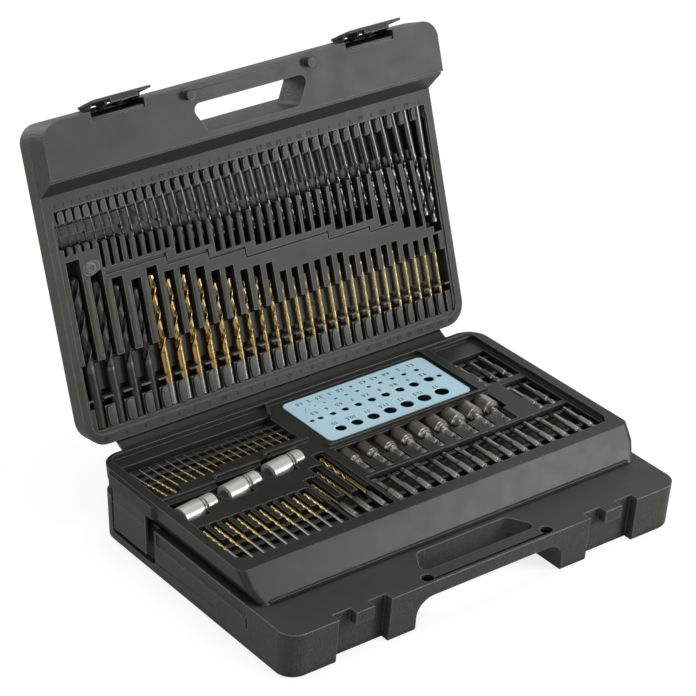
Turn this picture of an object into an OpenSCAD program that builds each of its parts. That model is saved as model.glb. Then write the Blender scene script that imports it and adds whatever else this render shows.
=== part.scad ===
// Three-layer carrying case for drill and driver bits: a base, a hinged tray and a hinged lid.
// The lid is drawn open against its stop. +X is to the right, -Y is the handle side, +Z is up.
// The origin is the middle of the underside of the base.

/* [Case] */
// Width of the case from side to side
case_w = 400; // [390:1:430]
// Depth of the case from hinge side to handle side
case_d = 282; // [280:1:310]
// Height of the base
base_h = 43; // [40:0.5:60]
// Height of the tray
tray_h = 26; // [26:0.5:40]
// Height of the lid above the tray
lid_h = 29; // [28:0.5:60]
// Gap between two closed layers
layer_gap = 0.3; // [0.2:0.05:0.6]
// Radius of the upright corners on the hinge side
rear_r = 20; // [18:1:30]
// Radius of the upright corners on the handle side
front_r = 16; // [14:1:30]
// Lean of the front wall of the base over its height
front_draft = 5; // [4:0.5:12]
// Lean of the front wall of the lid over its height
lid_draft = 6; // [3:0.5:10]
// Rounding of the outer edges of the lid
edge_r = 4; // [2:0.5:5]
// Wall of the base round its compartment
base_wall = 10; // [8:0.5:14]
// Floor of the base
base_floor = 4; // [3:0.5:6]
// Skin outside the sealed hollow of the lid
lid_skin = 3; // [2:0.5:5]

/* [Handle] */
// Depth of the handle section, from the front edge inwards
handle_d = 47.8; // [46:0.2:52]
// Width of the hand opening at its front
grip_w = 112.8; // [90:0.2:130]
// Taper of each side of the hand opening
grip_taper = 7.7; // [4:0.1:12]
// Thickness of the handle bar, front to back
grip_bar = 17; // [14:0.5:20]
// Front to back size of the hand opening
grip_d = 25.6; // [22:0.2:28]
// Half width of the finger scoops under and over the handle
scoop_half = 75; // [68:1:90]
// Height of the handle bar in the base
base_bar_h = 14; // [10:0.5:20]
// Height of the handle bar in the lid
lid_bar_h = 36; // [28:0.5:42]
// Distance of the locating pegs from the middle
peg_x = 61; // [60:0.5:70]
// Radius of a peg at its root
peg_r = 4.5; // [3.5:0.1:5]
// Length of a peg
peg_len = 7; // [6:0.5:11]
// Clearance round a peg, which comes in on an arc
peg_gap = 0.8; // [0.7:0.1:1.2]

/* [Tray] */
// Lean of the front face of the tray
tray_lean = 18.5; // [14:0.5:20]
// Gap between the front face of the tray and the lid
step_gap = 1; // [0.8:0.1:2]
// How far the underside of the tray is drawn in at each side
tray_side_in = 7.6; // [5:0.1:10]
// Height of the bead along the front of the tray
bead_h = 3; // [2:0.2:4]
// Length of the thicker side rails that carry the side latches
rail_len = 70; // [66:1:100]
// Thickness that the side rails stand out
rail_out = 2.3; // [1.5:0.1:3]
// Depth of the tray floor below its rim
tray_deck = 5; // [4:0.2:6]

/* [Hinges and latches] */
// Opening angle of the lid at its stop
lid_open = 105.9; // [95:0.1:115]
// Lid hinge line, behind the case
lid_axis_back = 6.6; // [5:0.1:9]
// Lid hinge line, below the rim of the tray
lid_axis_down = 3.2; // [2:0.1:5]
// Tray hinge line, behind the case
tray_axis_back = 5; // [4:0.1:8]
// Distance of the hinge webs from each side of the case
web_inset = 28; // [24:1:60]
// Thickness of the hinge webs
web_t = 1.4; // [1:0.1:2]
// Gap at the crease of a hinge web
crease_gap = 0.15; // [0.1:0.05:0.3]
// Middle of each front latch, from the side of the case
latch_inset = 72.5; // [60:0.5:90]
// Width of the latch seats
seat_w = 51; // [44:1:56]
// Width of the latch plates
latch_w = 54; // [52:1:66]
// Thickness of the latch plates
latch_t = 2.2; // [1.8:0.1:3]
// Angle at which the open latches stand
latch_rest = 15; // [5:1:25]
// Radius of the latch trunnions
trunnion_r = 2.2; // [1.8:0.1:2.6]
// Width of the block that each latch hooks under
block_w = 17.5; // [14:0.5:22]
// Height of the block that each latch hooks under
block_h = 12; // [10:0.5:14]
// Depth of the latch seats
seat_d = 9; // [4:0.5:10]
// Width of the side latches
side_latch_w = 50; // [40:1:54]
// Length of the side latches below their crease
side_latch_h = 37; // [30:0.5:38]
// Thickness of the side latches
side_latch_t = 2.4; // [2:0.1:3]
// Depth of the recesses round the side latches
side_seat_d = 6; // [5:0.5:7]

/* [Bits] */
// Clearance between a bit and its seat
seat_gap = 0.2; // [0.15:0.05:0.3]
// Sideways lean of the small bits in the lid, in degrees
bit_lean = 5; // [0:0.5:6]
// Size of the hexagon shanks across flats
hex_af = 6.35; // [6:0.05:6.5]
// Length of the driver bits
driver_len = 50; // [48:1:52]
// Number of driver bits in the front row
driver_count = 15; // [8:1:15]
// Number of nut drivers
nut_driver_count = 9; // [4:1:9]
// Web left between the drill gauge and the pockets at each side of it
gauge_web = 3; // [2:0.1:8]
// Thickness of the drill gauge
gauge_t = 1.2; // [1:0.1:3]
// Outer radius of the depth stop sleeves
sleeve_r = 9.5; // [8:0.1:10]
// Length of the depth stop sleeves
sleeve_len = 36; // [30:0.5:38]

/* [Hidden] */
$fn = 32;
over = 1;                                    // how far cutters run past the surface they open
rear = case_d / 2;
front = -case_d / 2;
side = case_w / 2;
tray_z = base_h + layer_gap;                 // underside of the tray
rim_z = tray_z + tray_h;                     // rim of the tray
lid_z = rim_z + layer_gap;                   // rim of the closed lid
lid_top = lid_z + lid_h;
latch_x = side - latch_inset;
part_z = base_h + layer_gap;                 // parting face of the lid's handle section
lid_axis = [rear + lid_axis_back, rim_z - lid_axis_down];
tray_axis = [rear + tray_axis_back, base_h + layer_gap / 2];
crease_off = (web_t + 2 * crease_gap) / sin(57);   // the leaves stay clear when they fold together
// Front of the tray and of the lid's step, as distances from the hinge side
step_v = case_d - handle_d;
tray_v = step_v - step_gap;
tray_top_v = tray_v - tray_lean;
grip_front = case_d - grip_bar;
peg_v = case_d - 8;
// Standard drill sizes: [how many, diameter, overall length]. The small bits of the lid add where
// their ribs start and where their slots end, both from the front edge of the field.
lid_row = [[4, 1, 34, 33.4, 39.7], [4, 1.5, 40, 35.7, 57.7], [4, 2, 49, 40.2, 57.7],
           [4, 2.5, 57, 43.7, 65.1], [4, 3, 61, 46.7, 73.7], [4, 3.2, 65, 46.7, 78.7],
           [4, 3.5, 70, 46.7, 80.6], [4, 4, 75, 46.7, 87.1], [1, 4.5, 80, 46.7, 96.2],
           [1, 5, 86, 46.7, 96.2], [1, 5.5, 93, 46.7, 104.7], [1, 6, 93, 46.7, 107.7],
           [1, 6.5, 101, 46.7, 110.7], [1, 7, 109, 46.7, 116.7]];
// The large bits add how far their slots run past the tips
heavy_row = [[1, 10, 133, 14], [1, 9, 125, 8], [1, 8, 117, 6], [1, 7, 109, 8], [1, 8, 117, 6],
             [2, 7, 109, 6], [1, 6.5, 101, 9], [2, 6, 93, 10], [2, 5, 86, 10], [1, 4.5, 80, 15],
             [6, 4, 75, 9.4], [5, 3.5, 70, 8.5], [4, 3.2, 65, 8.3]];
tray_row = [[2, 2, 49], [5, 1.5, 40], [10, 1, 34]];
front_row = [[10, 3, 61]];
hex_row = [[1, 2.5, 72], [1, 3.2, 85], [1, 4.5, 101]];
masonry_row = [[2, 4, 75], [2, 5, 85], [2, 6, 100], [2, 8, 120], [1, 10, 120]];
wood_row = [[2, 4, 75], [2, 5, 86], [2, 6, 93], [2, 8, 117], [1, 10, 133]];
spade_sizes = [32, 25, 22, 19, 16, 12];

// Levels in the lid, as depths below its rim
lid_deck = 1.5;
pad_top = 3;
lid_row_w = 6.6;
heavy_row_w = 7.8;
band_w = 11.5;
gap_w = 14;
slot_w = 13.5;
lid_hollow_w = 17.5;
// Places in the lid, as distances from the hinge side
field_v0 = 9;
field_v1 = step_v - 29.5;
field_side = 7;                              // rim left beside the field
field_r = 12;
row_margin = 12.5;                           // from the side of the case to the end bits
lid_row_v = field_v1 - 0.8;                  // shank ends of the small bits
heavy_row_v = field_v0 + 4;                  // shank ends of the large bits
pad_len = 11.5;
heavy_pad_len = 19;
depth_share = (field_v1 - field_v0) / 195.7;  // lengths of the bits follow the depth of the case
band_v0 = 44;                                // flat band under the large bits
band_v1 = 67.5;
slot_v0 = 71;
// Stepped groove between the two rows: [start along X, distance from the field's front edge, width]
groove_steps = [[-153, 62.2, 3.4], [-92.5, 69.8, 2.8], [-51.5, 77.3, 2], [-15, 86, 1.3], [71, 93, 1.3],
                [115, 97.9, 1.3]];
groove_end = 140;
groove_deep = 2.2;

// Every bit of a row as [diameter, length, fraction of the row's width]
function column(row, k) = [for (g = row) for (i = [1:g[0]]) g[k]];
function diameters(row) = column(row, 1);
function lengths(row) = depth_share * column(row, 2);
function total(list, n) = n <= 0 ? 0 : list[n - 1] + total(list, n - 1);
// Places along X of the bits of a row: equal webs are left between neighbours
function web(d, width) = (width - total(d, len(d)) + d[0] / 2 + d[len(d) - 1] / 2) / (len(d) - 1);
function places(d, x0, width) = [for (i = [0:len(d) - 1])
    x0 + total(d, i) + d[i] / 2 - d[0] / 2 + i * web(d, width)];

lid_d = diameters(lid_row);
lid_l = lengths(lid_row);
lid_x = places(lid_d, -side + row_margin, case_w - 2 * row_margin - 0.5);
heavy_count = 4;                             // the first bits of the lower row are black
heavy_d = diameters(heavy_row);
heavy_l = lengths(heavy_row);
heavy_room = [for (i = [0:len(heavy_d) - 1]) heavy_d[i] + (i < heavy_count ? 1.8 : 0)];
heavy_x = places(heavy_room, -side + row_margin + 6.5, case_w - 2 * row_margin - 10.7);
large_count = 13;                            // and the gold ones up to here have deep flutes
heavy_gap = depth_share * column(heavy_row, 3);
lid_rib = depth_share * column(lid_row, 3);
lid_end = depth_share * column(lid_row, 4);
last = len(lid_x) - 1;

// Layout of the tray, as distances from the hinge side
tray_field_v0 = 4;
tray_field_v1 = tray_top_v - 13.5;
tray_field_side = 9;
tray_row_v = 26;
tray_d = diameters(tray_row);
tray_l = lengths(tray_row);
tray_row_x0 = -side + 16;
tray_x = places(tray_d, tray_row_x0, 136);
front_v = tray_field_v1 - 4;                 // shank ends of the front row
front_d = diameters(front_row);
front_l = lengths(front_row);
front_x = places(front_d, -side + 17, 99);
hex_x = [for (i = [0:2]) -side + 130.5 + i * 14.5];
hex_l = lengths(hex_row);
hex_d = diameters(hex_row);
driver_x0 = -side + 176;
driver_pitch = (2 * side - 176 - 19) / 14;
driver_x = [for (i = [0:driver_count - 1]) driver_x0 + i * driver_pitch];
driver_w = 9;                                // depth of the axis of hexagon shanks
driver_v = tray_field_v1 - 1;
nut_x0 = -side + 183;
nut_pitch = (2 * side - 253.6) / 8;
nut_len = 45 * depth_share;
nut_socket = 24;
nut_v = driver_v - driver_len - 6;
column_x = [side - 49, side - 35, side - 21];
// The gauge lies between the ridge at its left, the driver bits at its right and the nut drivers
gauge_x0 = -side + 176.35;
gauge_x1 = side - 65.15;
gauge_w = gauge_x1 - gauge_x0 - 2 * gauge_web;
gauge_x = (gauge_x0 + gauge_x1) / 2;
gauge_v0 = 10;
gauge_d = nut_v - nut_len - 13.2 - gauge_v0;
gauge_v = gauge_v0 + gauge_d / 2;
gauge_v1 = gauge_v0 + gauge_d;
gauge_w_depth = tray_deck - gauge_t - 0.1;   // top of the gauge below the rim
sleeve_at = [for (i = [0:2]) [-side + 31 + 49 * i, (104 - 8 * i) * depth_share]];
sleeve_turn = 10;                            // the sleeves lie askew
rib_t = 3.5;                                 // cross ribs in the recesses of the tray
rib_h = 4;
sleeve_w = 10;
// Ridges between the recesses of the tray: [from, to] as [X, distance from the hinge side]
ridge_w = 2.4;
ridge_top = 1.2;
ridge_v = depth_share * [85.5, 78.5, 72];
ridges = [[[-side + 6, ridge_v[0]], [-side + 63, ridge_v[0]]],
          [[-side + 63, ridge_v[0]], [-side + 66, ridge_v[1]]],
          [[-side + 66, ridge_v[1]], [-side + 117, ridge_v[1]]],
          [[-side + 117, ridge_v[1]], [-side + 121, ridge_v[2]]],
          [[-side + 121, ridge_v[2]], [-side + 164, ridge_v[2]]],
          [[-side + 170, 2], [-side + 151, 40]],
          [[-side + 174, gauge_v1 + 6.6], [side - 60, gauge_v1 + 6.6]]];

// Base: contents and the ribs that carry them
base_row_w = 21;                             // height of the bits over the underside
base_rib = 5;
base_rib_v = [24, 62, step_v - 80.2];
bits_v = 18;
base_share = (base_rib_v[2] - bits_v - 3) / 133;   // the drills end at the third rib
masonry_d = diameters(masonry_row);
masonry_l = base_share * column(masonry_row, 2);
masonry_x = places(masonry_d, -side + 32, 124);
wood_d = diameters(wood_row);
wood_l = base_share * column(wood_row, 2);
wood_x = places(wood_d, side - 186, 150);
spade_pitch = (case_w - 28) / 3;
spade_len = spade_pitch - 6;
spade_x = [for (i = [0:2]) -side + 16 + i * spade_pitch];
spade_v = [step_v - 58.2, step_v - 25.2];
side_latch_v = 28;                           // rear end of the side latches
side_hinge_z = tray_z + 10;                  // crease of the side latches
side_tip_z = side_hinge_z - side_latch_h;
trunnion = [front + 3.8, part_z + 17.7];     // latch trunnions in the closed lid

// Section of a drill with two flutes, as [angle, share of the radius]
land_fine = [[-36, 1], [0, 1], [36, 1], [78, 0.45], [144, 1], [180, 1], [216, 1], [258, 0.45]];
land_plain = [[-38, 1], [38, 1], [90, 0.4], [142, 1], [218, 1], [270, 0.4]];
// Rows of test holes in the gauge: distance from its rear edge, then [X, diameter] of each hole
gauge_rows = [
    [17.5, [[-61.9, 1.5], [-51.9, 2], [-41.4, 2.5], [-29.8, 3], [-18.5, 3.5], [-6.7, 4], [6, 4.2],
            [18.3, 4.5], [31.5, 4.8], [44.7, 5], [58.4, 5.2]]],
    [37.5, [[-69, 4.5], [-60.1, 5.5], [-46.9, 6], [-33.8, 6.5], [-19.8, 7], [-5.3, 7.5], [9.7, 8],
            [25.2, 8.5], [40.7, 9], [57.3, 9.5], [68.4, 5]]],
    [62, [[-55.9, 10], [-38.8, 10.5], [-21.4, 11], [-3.5, 11.5], [14.9, 12], [33.6, 12.5], [52.8, 13]]]];

// ---------- frames ----------
// The open lid: children are drawn as the closed lid
module opened() {
    translate([0, lid_axis[0], lid_axis[1]]) rotate([-lid_open, 0, 0])
        translate([0, -lid_axis[0], -lid_axis[1]]) children();
}
// Panel of the lid: Y is the distance from the hinge side, +Z points out of the panel
module on_lid() {
    opened() translate([0, rear, lid_z]) rotate([180, 0, 0]) children();
}
// Panel of the tray: Y is minus the distance from the hinge side
module on_tray() {
    translate([0, rear, rim_z]) children();
}

// ---------- plain shapes ----------
// Box between two corners
module block(a, b) {
    translate(a) cube(b - a);
}
// Corner waste between a square corner and its arc, the corner being at the origin
module corner_waste(r) {
    difference() {
        translate([-over, -over]) square(r + over);
        translate([r, r]) circle(r);
    }
}
// Rectangle with its own radius at the +Y and the -Y end
module rounded(x, y0, y1, r0, r1) {
    difference() {
        translate([-x, y0]) square([2 * x, y1 - y0]);
        for (s = [-1, 1]) {
            translate([s * x, y0]) rotate(s > 0 ? 90 : 0) corner_waste(r0);
            translate([s * x, y1]) rotate(s > 0 ? 180 : -90) corner_waste(r1);
        }
    }
}
// Slice of the case outline, drawn in at the sides and at the front
module outline(z, side_in, front_in, rear_in = 0) {
    translate([0, 0, z]) linear_extrude(0.01)
        rounded(side - side_in, front + front_in, rear - rear_in, front_r, rear_r);
}
// Outline of the hand opening, rounded at its corners
module grip_hole(z0, z1) {
    r = 6;
    hull() for (s = [-1, 1]) {
        translate([s * (grip_w / 2 - r), rear - grip_front + r, z0]) cylinder(r = r, h = z1 - z0);
        translate([s * (grip_w / 2 - grip_taper - r), rear - grip_front + grip_d - r, z0])
            cylinder(r = r, h = z1 - z0);
    }
}
// Finger scoop along the front edge, with a round end at each side
module scoop(z_bar, z_out, r) {
    up = z_out > z_bar ? 1 : -1;
    high = abs(z_out - z_bar) + over;
    depth = grip_bar + grip_d;
    translate([0, front - over, 0]) rotate([-90, 0, 0]) linear_extrude(depth + over) {
        translate([-scoop_half, up > 0 ? -z_bar - high : r - z_bar]) square([2 * scoop_half, high - r]);
        translate([-scoop_half + r, up > 0 ? -z_bar - high : -z_bar]) square([2 * (scoop_half - r), high]);
        for (s = [-1, 1]) translate([s * (scoop_half - r), -z_bar - up * r]) circle(r);
    }
}

// ---------- drills and drivers ----------
// One ring of the fluted part: the flutes deepen along the run-out, and the tip narrows to its point
function flute_ring(land, r, z, turn, depth, size) = [for (p = land)
    [r * size * (1 - depth * (1 - p[1])) * cos(p[0] + turn),
     r * size * (1 - depth * (1 - p[1])) * sin(p[0] + turn), z]];
// Twist drill along +Y with its shank end at the origin
module twist_drill(d, length, fine) {
    r = d / 2;
    flutes = length * (d > 4.2 ? 0.64 : 0.56);
    tip = 0.3 * d;
    pitch = 6 * d;
    steps = max(3, round((flutes - tip) / pitch * 360 / (fine ? 40 : 72)));
    land = fine ? land_fine : land_plain;
    n = len(land);
    z0 = length - flutes - r;
    points = [
        for (k = [0:steps]) let (z = z0 + (length - tip - z0) * k / steps)
            each flute_ring(land, 0.985 * r, z, 360 * (z - z0) / pitch, min(1, k / 2), 1),
        each flute_ring(land, 0.985 * r, length, 360 * (length - z0) / pitch, 1, 0.15)
    ];
    sides = [for (k = [0:steps]) for (i = [0:n - 1]) let (a = k * n + i, b = k * n + (i + 1) % n)
        each [[a, b, a + n], [b, b + n, a + n]]];
    rotate([-90, 0, 0]) {
        cylinder(r = r, h = length - flutes, $fn = 24);
        polyhedron(points, concat([[for (i = [0:n - 1]) i]], [for (f = sides) [f[0], f[2], f[1]]],
                                  [[for (i = [n - 1:-1:0]) (steps + 1) * n + i]]));
    }
}
// Small drill along +Y: its flutes are finer than a millimetre
module plain_drill(d, length) {
    rotate([-90, 0, 0]) {
        cylinder(d = d, h = length - 0.4 * d, $fn = 16);
        translate([0, 0, length - 0.4 * d]) cylinder(r1 = d / 2, r2 = d * 0.1, h = 0.4 * d, $fn = 16);
    }
}
// Hexagon bar along +Y with the snap groove of a quick-change shank
module hex_shank(length) {
    corner = hex_af / 2 / cos(30);
    groove = 9.5;
    rotate([-90, 0, 0]) {
        cylinder(r1 = corner * 0.86, r2 = corner, h = 1, $fn = 6);
        translate([0, 0, 1]) cylinder(r = corner, h = groove - 2.4, $fn = 6);
        translate([0, 0, groove - 1.4]) cylinder(r = hex_af * 0.4, h = 2.8, $fn = 24);
        translate([0, 0, groove + 1.4]) cylinder(r = corner, h = length - groove - 1.4, $fn = 6);
    }
}
// Long driver bit along +Y; the blades alternate between flat, cross and star
module driver_bit(kind) {
    body = 0.52 * driver_len;
    neck = driver_len - body;
    hex_shank(body);
    translate([0, body, 0]) rotate([-90, 0, 0]) {
        cylinder(r1 = hex_af * 0.5, r2 = hex_af * 0.36, h = 3, $fn = 24);
        if (kind == 0) {
            translate([0, 0, 3]) cylinder(r = hex_af * 0.36, h = neck - 11, $fn = 24);
            translate([-hex_af * 0.42, -0.6, neck - 8.5]) cube([hex_af * 0.84, 1.2, 8.5]);
        } else if (kind == 1) {
            translate([0, 0, 3]) cylinder(r = hex_af * 0.36, h = neck - 7, $fn = 24);
            translate([0, 0, neck - 4]) cylinder(r1 = hex_af * 0.36, r2 = 0.8, h = 4, $fn = 24);
        } else {
            translate([0, 0, 3]) cylinder(r = hex_af * 0.36, h = neck - 6, $fn = 24);
            translate([0, 0, neck - 3]) cylinder(r = hex_af * 0.27, h = 3, $fn = 6);
        }
    }
}
// Nut driver along +Y, socket end at the far end
module nut_driver(socket_r) {
    hex_shank(nut_len - nut_socket);
    translate([0, nut_len - nut_socket, 0]) rotate([-90, 0, 0]) difference() {
        union() {
            cylinder(r1 = hex_af * 0.55, r2 = hex_af * 0.62, h = 3, $fn = 32);
            translate([0, 0, 3]) cylinder(r = socket_r * 0.8, h = 3, $fn = 32);
            translate([0, 0, 6]) cylinder(r1 = socket_r * 0.8, r2 = socket_r, h = 2, $fn = 32);
            translate([0, 0, 8]) cylinder(r = socket_r, h = nut_socket - 8, $fn = 32);
        }
        translate([0, 0, nut_socket - 9]) cylinder(r = socket_r * 0.76, h = 9 + over, $fn = 6);
    }
}
function nut_r(i) = nut_pitch / 18.3 * (5.6 + 0.42 * i);
// Depth stop sleeve along +Y: a bored collar whose far end is cut away to a half round
module sleeve() {
    bore = sleeve_r * 0.58;
    rotate([-90, 0, 0]) difference() {
        union() {
            cylinder(r = sleeve_r, h = sleeve_len * 0.58, $fn = 48);
            cylinder(r = sleeve_r * 0.93, h = sleeve_len, $fn = 48);
        }
        translate([0, 0, -over]) cylinder(r = bore, h = sleeve_len * 0.55 + over, $fn = 48);
        translate([0, 0, -over]) cylinder(r = bore * 0.62, h = sleeve_len + 2 * over, $fn = 32);
        block([-sleeve_r - over, 0.2 * sleeve_r, sleeve_len * 0.7],
              [sleeve_r + over, sleeve_r + over, sleeve_len + over]);
    }
}
// Spade bit along +Y
module spade_bit(blade) {
    t = 2;
    hex_shank(25);
    translate([0, 25, 0]) rotate([-90, 0, 0]) cylinder(d = 4.6, h = spade_len - 62, $fn = 24);
    translate([0, spade_len - 42, -t / 2]) linear_extrude(t)
        polygon([[-2.3, 0], [-blade / 2, 8], [-blade / 2, 32], [-blade / 4, 30], [-1.6, 30],
                 [0, 42], [1.6, 30], [blade / 4, 30], [blade / 2, 32], [blade / 2, 8], [2.3, 0]]);
}

// ---------- base ----------
module base_shell() color("#4a4b47") {
    difference() {
        hull() {
            outline(0, 1.6, front_draft + 1, 1.2);
            outline(1.6, 0.4, front_draft - 0.2);
            outline(base_h - 0.01, 0, 0);
        }
        // compartment
        translate([0, 0, base_floor]) linear_extrude(base_h)
            rounded(side - base_wall, rear - step_v + 3, rear - 7, 10, rear_r - 8);
        grip_hole(-over, base_h + over);
        scoop(base_h - base_bar_h, 0, 16);
        for (s = [-1, 1]) {
            translate([s * peg_x, rear - peg_v, base_h - peg_len - 1.5])
                cylinder(r = peg_r + peg_gap, h = peg_len + 1.5 + over);
            latch_seat(s);
            side_seat(s);
            side_panel(s);
        }
    }
    base_racks();
}
// Upright recess that takes a front latch; a block stays at its top
module latch_seat(s) {
    difference() {
        block([s * latch_x - seat_w / 2, front - over, -over],
              [s * latch_x + seat_w / 2, front + front_draft + seat_d, base_h + over]);
        block([s * latch_x - block_w / 2, front - 2 * over, base_h - block_h],
              [s * latch_x + block_w / 2, front + front_draft + seat_d + over, base_h + 2 * over]);
        // the floor of the recess follows the lean of the wall
        translate([s * latch_x, front + seat_d, base_h]) rotate([atan(front_draft / base_h), 0, 0])
            translate([-seat_w, 0, -2 * base_h]) cube([2 * seat_w, 4 * seat_d + front_draft, 3 * base_h]);
    }
}
// Recess round a side latch, with room for a finger below
module side_seat(s) {
    z0 = side_tip_z - 8;
    y0 = rear - side_latch_v - side_latch_w - 9;
    width = side_latch_w + 16;
    r = 5;
    translate([s * (side - side_seat_d / 2 + over), 0, 0]) rotate([90, 0, 90])
        linear_extrude(side_seat_d + 2 * over, center = true) {
            translate([y0, z0 + r]) square([width, base_h]);
            translate([y0 + r, z0]) square([width - 2 * r, base_h]);
            for (y = [y0 + r, y0 + width - r]) translate([y, z0 + r]) circle(r);
        }
}
// Long panel line in front of the side latch, with a short upright end
module side_panel(s) {
    z0 = base_h - 13.5;
    v0 = side_latch_v + side_latch_w + 12;
    v1 = step_v - 12;
    depth = 1.5;
    block([min(s * (side - depth), s * (side + over)), rear - v1, z0],
          [max(s * (side - depth), s * (side + over)), rear - v0, base_h - 1.6]);
    block([min(s * (side - depth - 1), s * (side + over)), rear - v1, z0 - 10],
          [max(s * (side - depth - 1), s * (side + over)), rear - v1 + 2, z0 + 1]);
}
// Ribs in the base: three run across the case, short ones carry the spade bits
module base_racks() {
    top = base_row_w + 6;
    difference() {
        union() {
            for (v = base_rib_v) block([-side + base_wall - over, rear - v - base_rib, base_floor - over],
                                       [side - base_wall + over, rear - v, top]);
            for (x = spade_x) for (dx = [12, 52])
                block([x + dx, rear - step_v + 3 - over, base_floor - over],
                      [x + dx + base_rib, rear - base_rib_v[2] - 1, top]);
        }
        for (i = [0:len(masonry_x) - 1]) rack_notch(masonry_x[i], masonry_d[i]);
        for (i = [0:len(wood_x) - 1]) rack_notch(wood_x[i], wood_d[i]);
        for (x = spade_x) for (v = spade_v) spade_notch(x, v);
    }
}
module rack_notch(x, d) {
    r = d / 2 + seat_gap;
    y = rear - base_rib_v[1] - base_rib - 4;
    translate([x, y, base_row_w]) rotate([-90, 0, 0]) cylinder(r = r, h = rear - y, $fn = 24);
    block([x - r, y, base_row_w], [x + r, rear, base_h]);
}
module spade_notch(x, v) {
    r = hex_af / 2 / cos(30) + seat_gap;
    translate([x, rear - v, base_row_w]) rotate([0, 90, 0]) cylinder(r = r, h = 64, $fn = 24);
    block([x, rear - v - r, base_row_w], [x + 64, rear - v + r, base_h]);
}
module masonry_bits() color("#9a9a98") {
    for (i = [0:len(masonry_x) - 1]) translate([masonry_x[i], rear - bits_v, base_row_w]) rotate(180)
        twist_drill(masonry_d[i], masonry_l[i], false);
}
module wood_bits() color("#a8a294") {
    for (i = [0:len(wood_x) - 1]) translate([wood_x[i], rear - bits_v, base_row_w]) rotate(180)
        twist_drill(wood_d[i], wood_l[i], false);
}
module spade_bits() color("#8f8f8c") {
    for (i = [0:len(spade_sizes) - 1])
        translate([spade_x[floor(i / 2)], rear - spade_v[1 - i % 2], base_row_w]) rotate(-90)
            spade_bit(spade_sizes[i]);
}

// ---------- hinge webs ----------
// Leaf from a crease line to the wall behind the case: both are points in the YZ plane.
// One leaf of each web carries the bead along the crease, and the other stops just short of it.
module leaf(wall, crease, bead) {
    d = wall - crease;
    start = bead ? 0 : crease_off;
    width = case_w - 2 * web_inset;
    difference() {
        translate([0, crease[0], crease[1]]) rotate([atan2(d[1], d[0]), 0, 0]) {
            translate([-width / 2, start, -web_t / 2]) cube([width, norm(d) - start + 2, web_t]);
            translate([-width / 2, start, 0]) rotate([0, 90, 0])
                cylinder(r = web_t / 2 + (bead ? 2 * crease_gap : 0), h = width, $fn = 24);
        }
        block([-side, rear - 20, 0], [side, rear, lid_top]);
    }
}
module tray_hinge_base_leaf() color("#3d3e3b") leaf([rear, base_h - 3.2], tray_axis, true);
module tray_hinge_tray_leaf() color("#3d3e3b") leaf([rear, tray_z + 3.2], tray_axis, false);
module lid_hinge_tray_leaf() color("#3d3e3b") leaf([rear, rim_z - 4.4], lid_axis, true);
module lid_hinge_lid_leaf() color("#3d3e3b") opened() leaf([rear, lid_z + 3.6], lid_axis, false);

// ---------- tray ----------
module tray_shell() color("#454642") {
    difference() {
        union() {
            hull() {
                tray_slice(tray_z, tray_side_in, tray_v);
                tray_slice(tray_z + tray_h / 2, 1, tray_v - tray_lean / 2);
                tray_slice(rim_z - 0.01, 0, tray_top_v);
            }
            // bead along the front
            block([-side + tray_side_in + 8, rear - tray_v - 0.5, tray_z],
                  [side - tray_side_in - 8, rear - tray_v + 4, tray_z + bead_h]);
            for (s = [-1, 1]) side_rail(s);
        }
        on_tray() tray_pockets();
    }
}
module tray_slice(z, side_in, v) {
    translate([0, 0, z]) linear_extrude(0.01) rounded(side - side_in, rear - v, rear, 6, rear_r);
}
// Thicker rail at the side, over the crease of the side latch
module side_rail(s) {
    z0 = side_hinge_z + side_latch_t / 2 + crease_gap;
    translate([s * (side - 12), 0, z0]) linear_extrude(rim_z - 2.5 - z0)
        rounded(12 + rail_out, rear - side_latch_v + 8 - rail_len, rear - side_latch_v + 8, 3, 3);
}
module tray_pockets() {
    // field inside the rim; ridges stay between its recesses
    difference() {
        translate([0, 0, -tray_deck]) linear_extrude(tray_deck + over)
            rounded(side - tray_field_side, -tray_field_v1, -tray_field_v0, field_r, rear_r - 12);
        for (p = ridges) ridge(p[0], p[1]);
        // the rim is wider round the column of driver bits
        block([side - 65.5, -gauge_v1 - 8, -tray_deck - over], [side - 57, over, -ridge_top]);
        block([side - 58, -9.5, -tray_deck - over], [side, over, -ridge_top]);
    }
    small_row_pocket();
    sleeve_pockets();
    front_row_pockets();
    nut_pockets();
    driver_pockets();
    gauge_pocket();
}
module ridge(a, b) {
    d = [b[0] - a[0], a[1] - b[1]];
    translate([a[0], -a[1], -tray_deck - over]) rotate(atan2(d[1], d[0]))
        translate([-ridge_w / 2, -ridge_w / 2, 0])
            cube([norm(d) + ridge_w, ridge_w, tray_deck + over - ridge_top]);
}
// Channel for a round or hexagon bar that lies along Y, open at the top
module channel(x, v0, v1, w, r) {
    translate([x, -v1, -w]) rotate([-90, 0, 0]) cylinder(r = r, h = v1 - v0, $fn = 24);
    block([x - r, -v1, -w], [x + r, -v0, over]);
}
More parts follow.
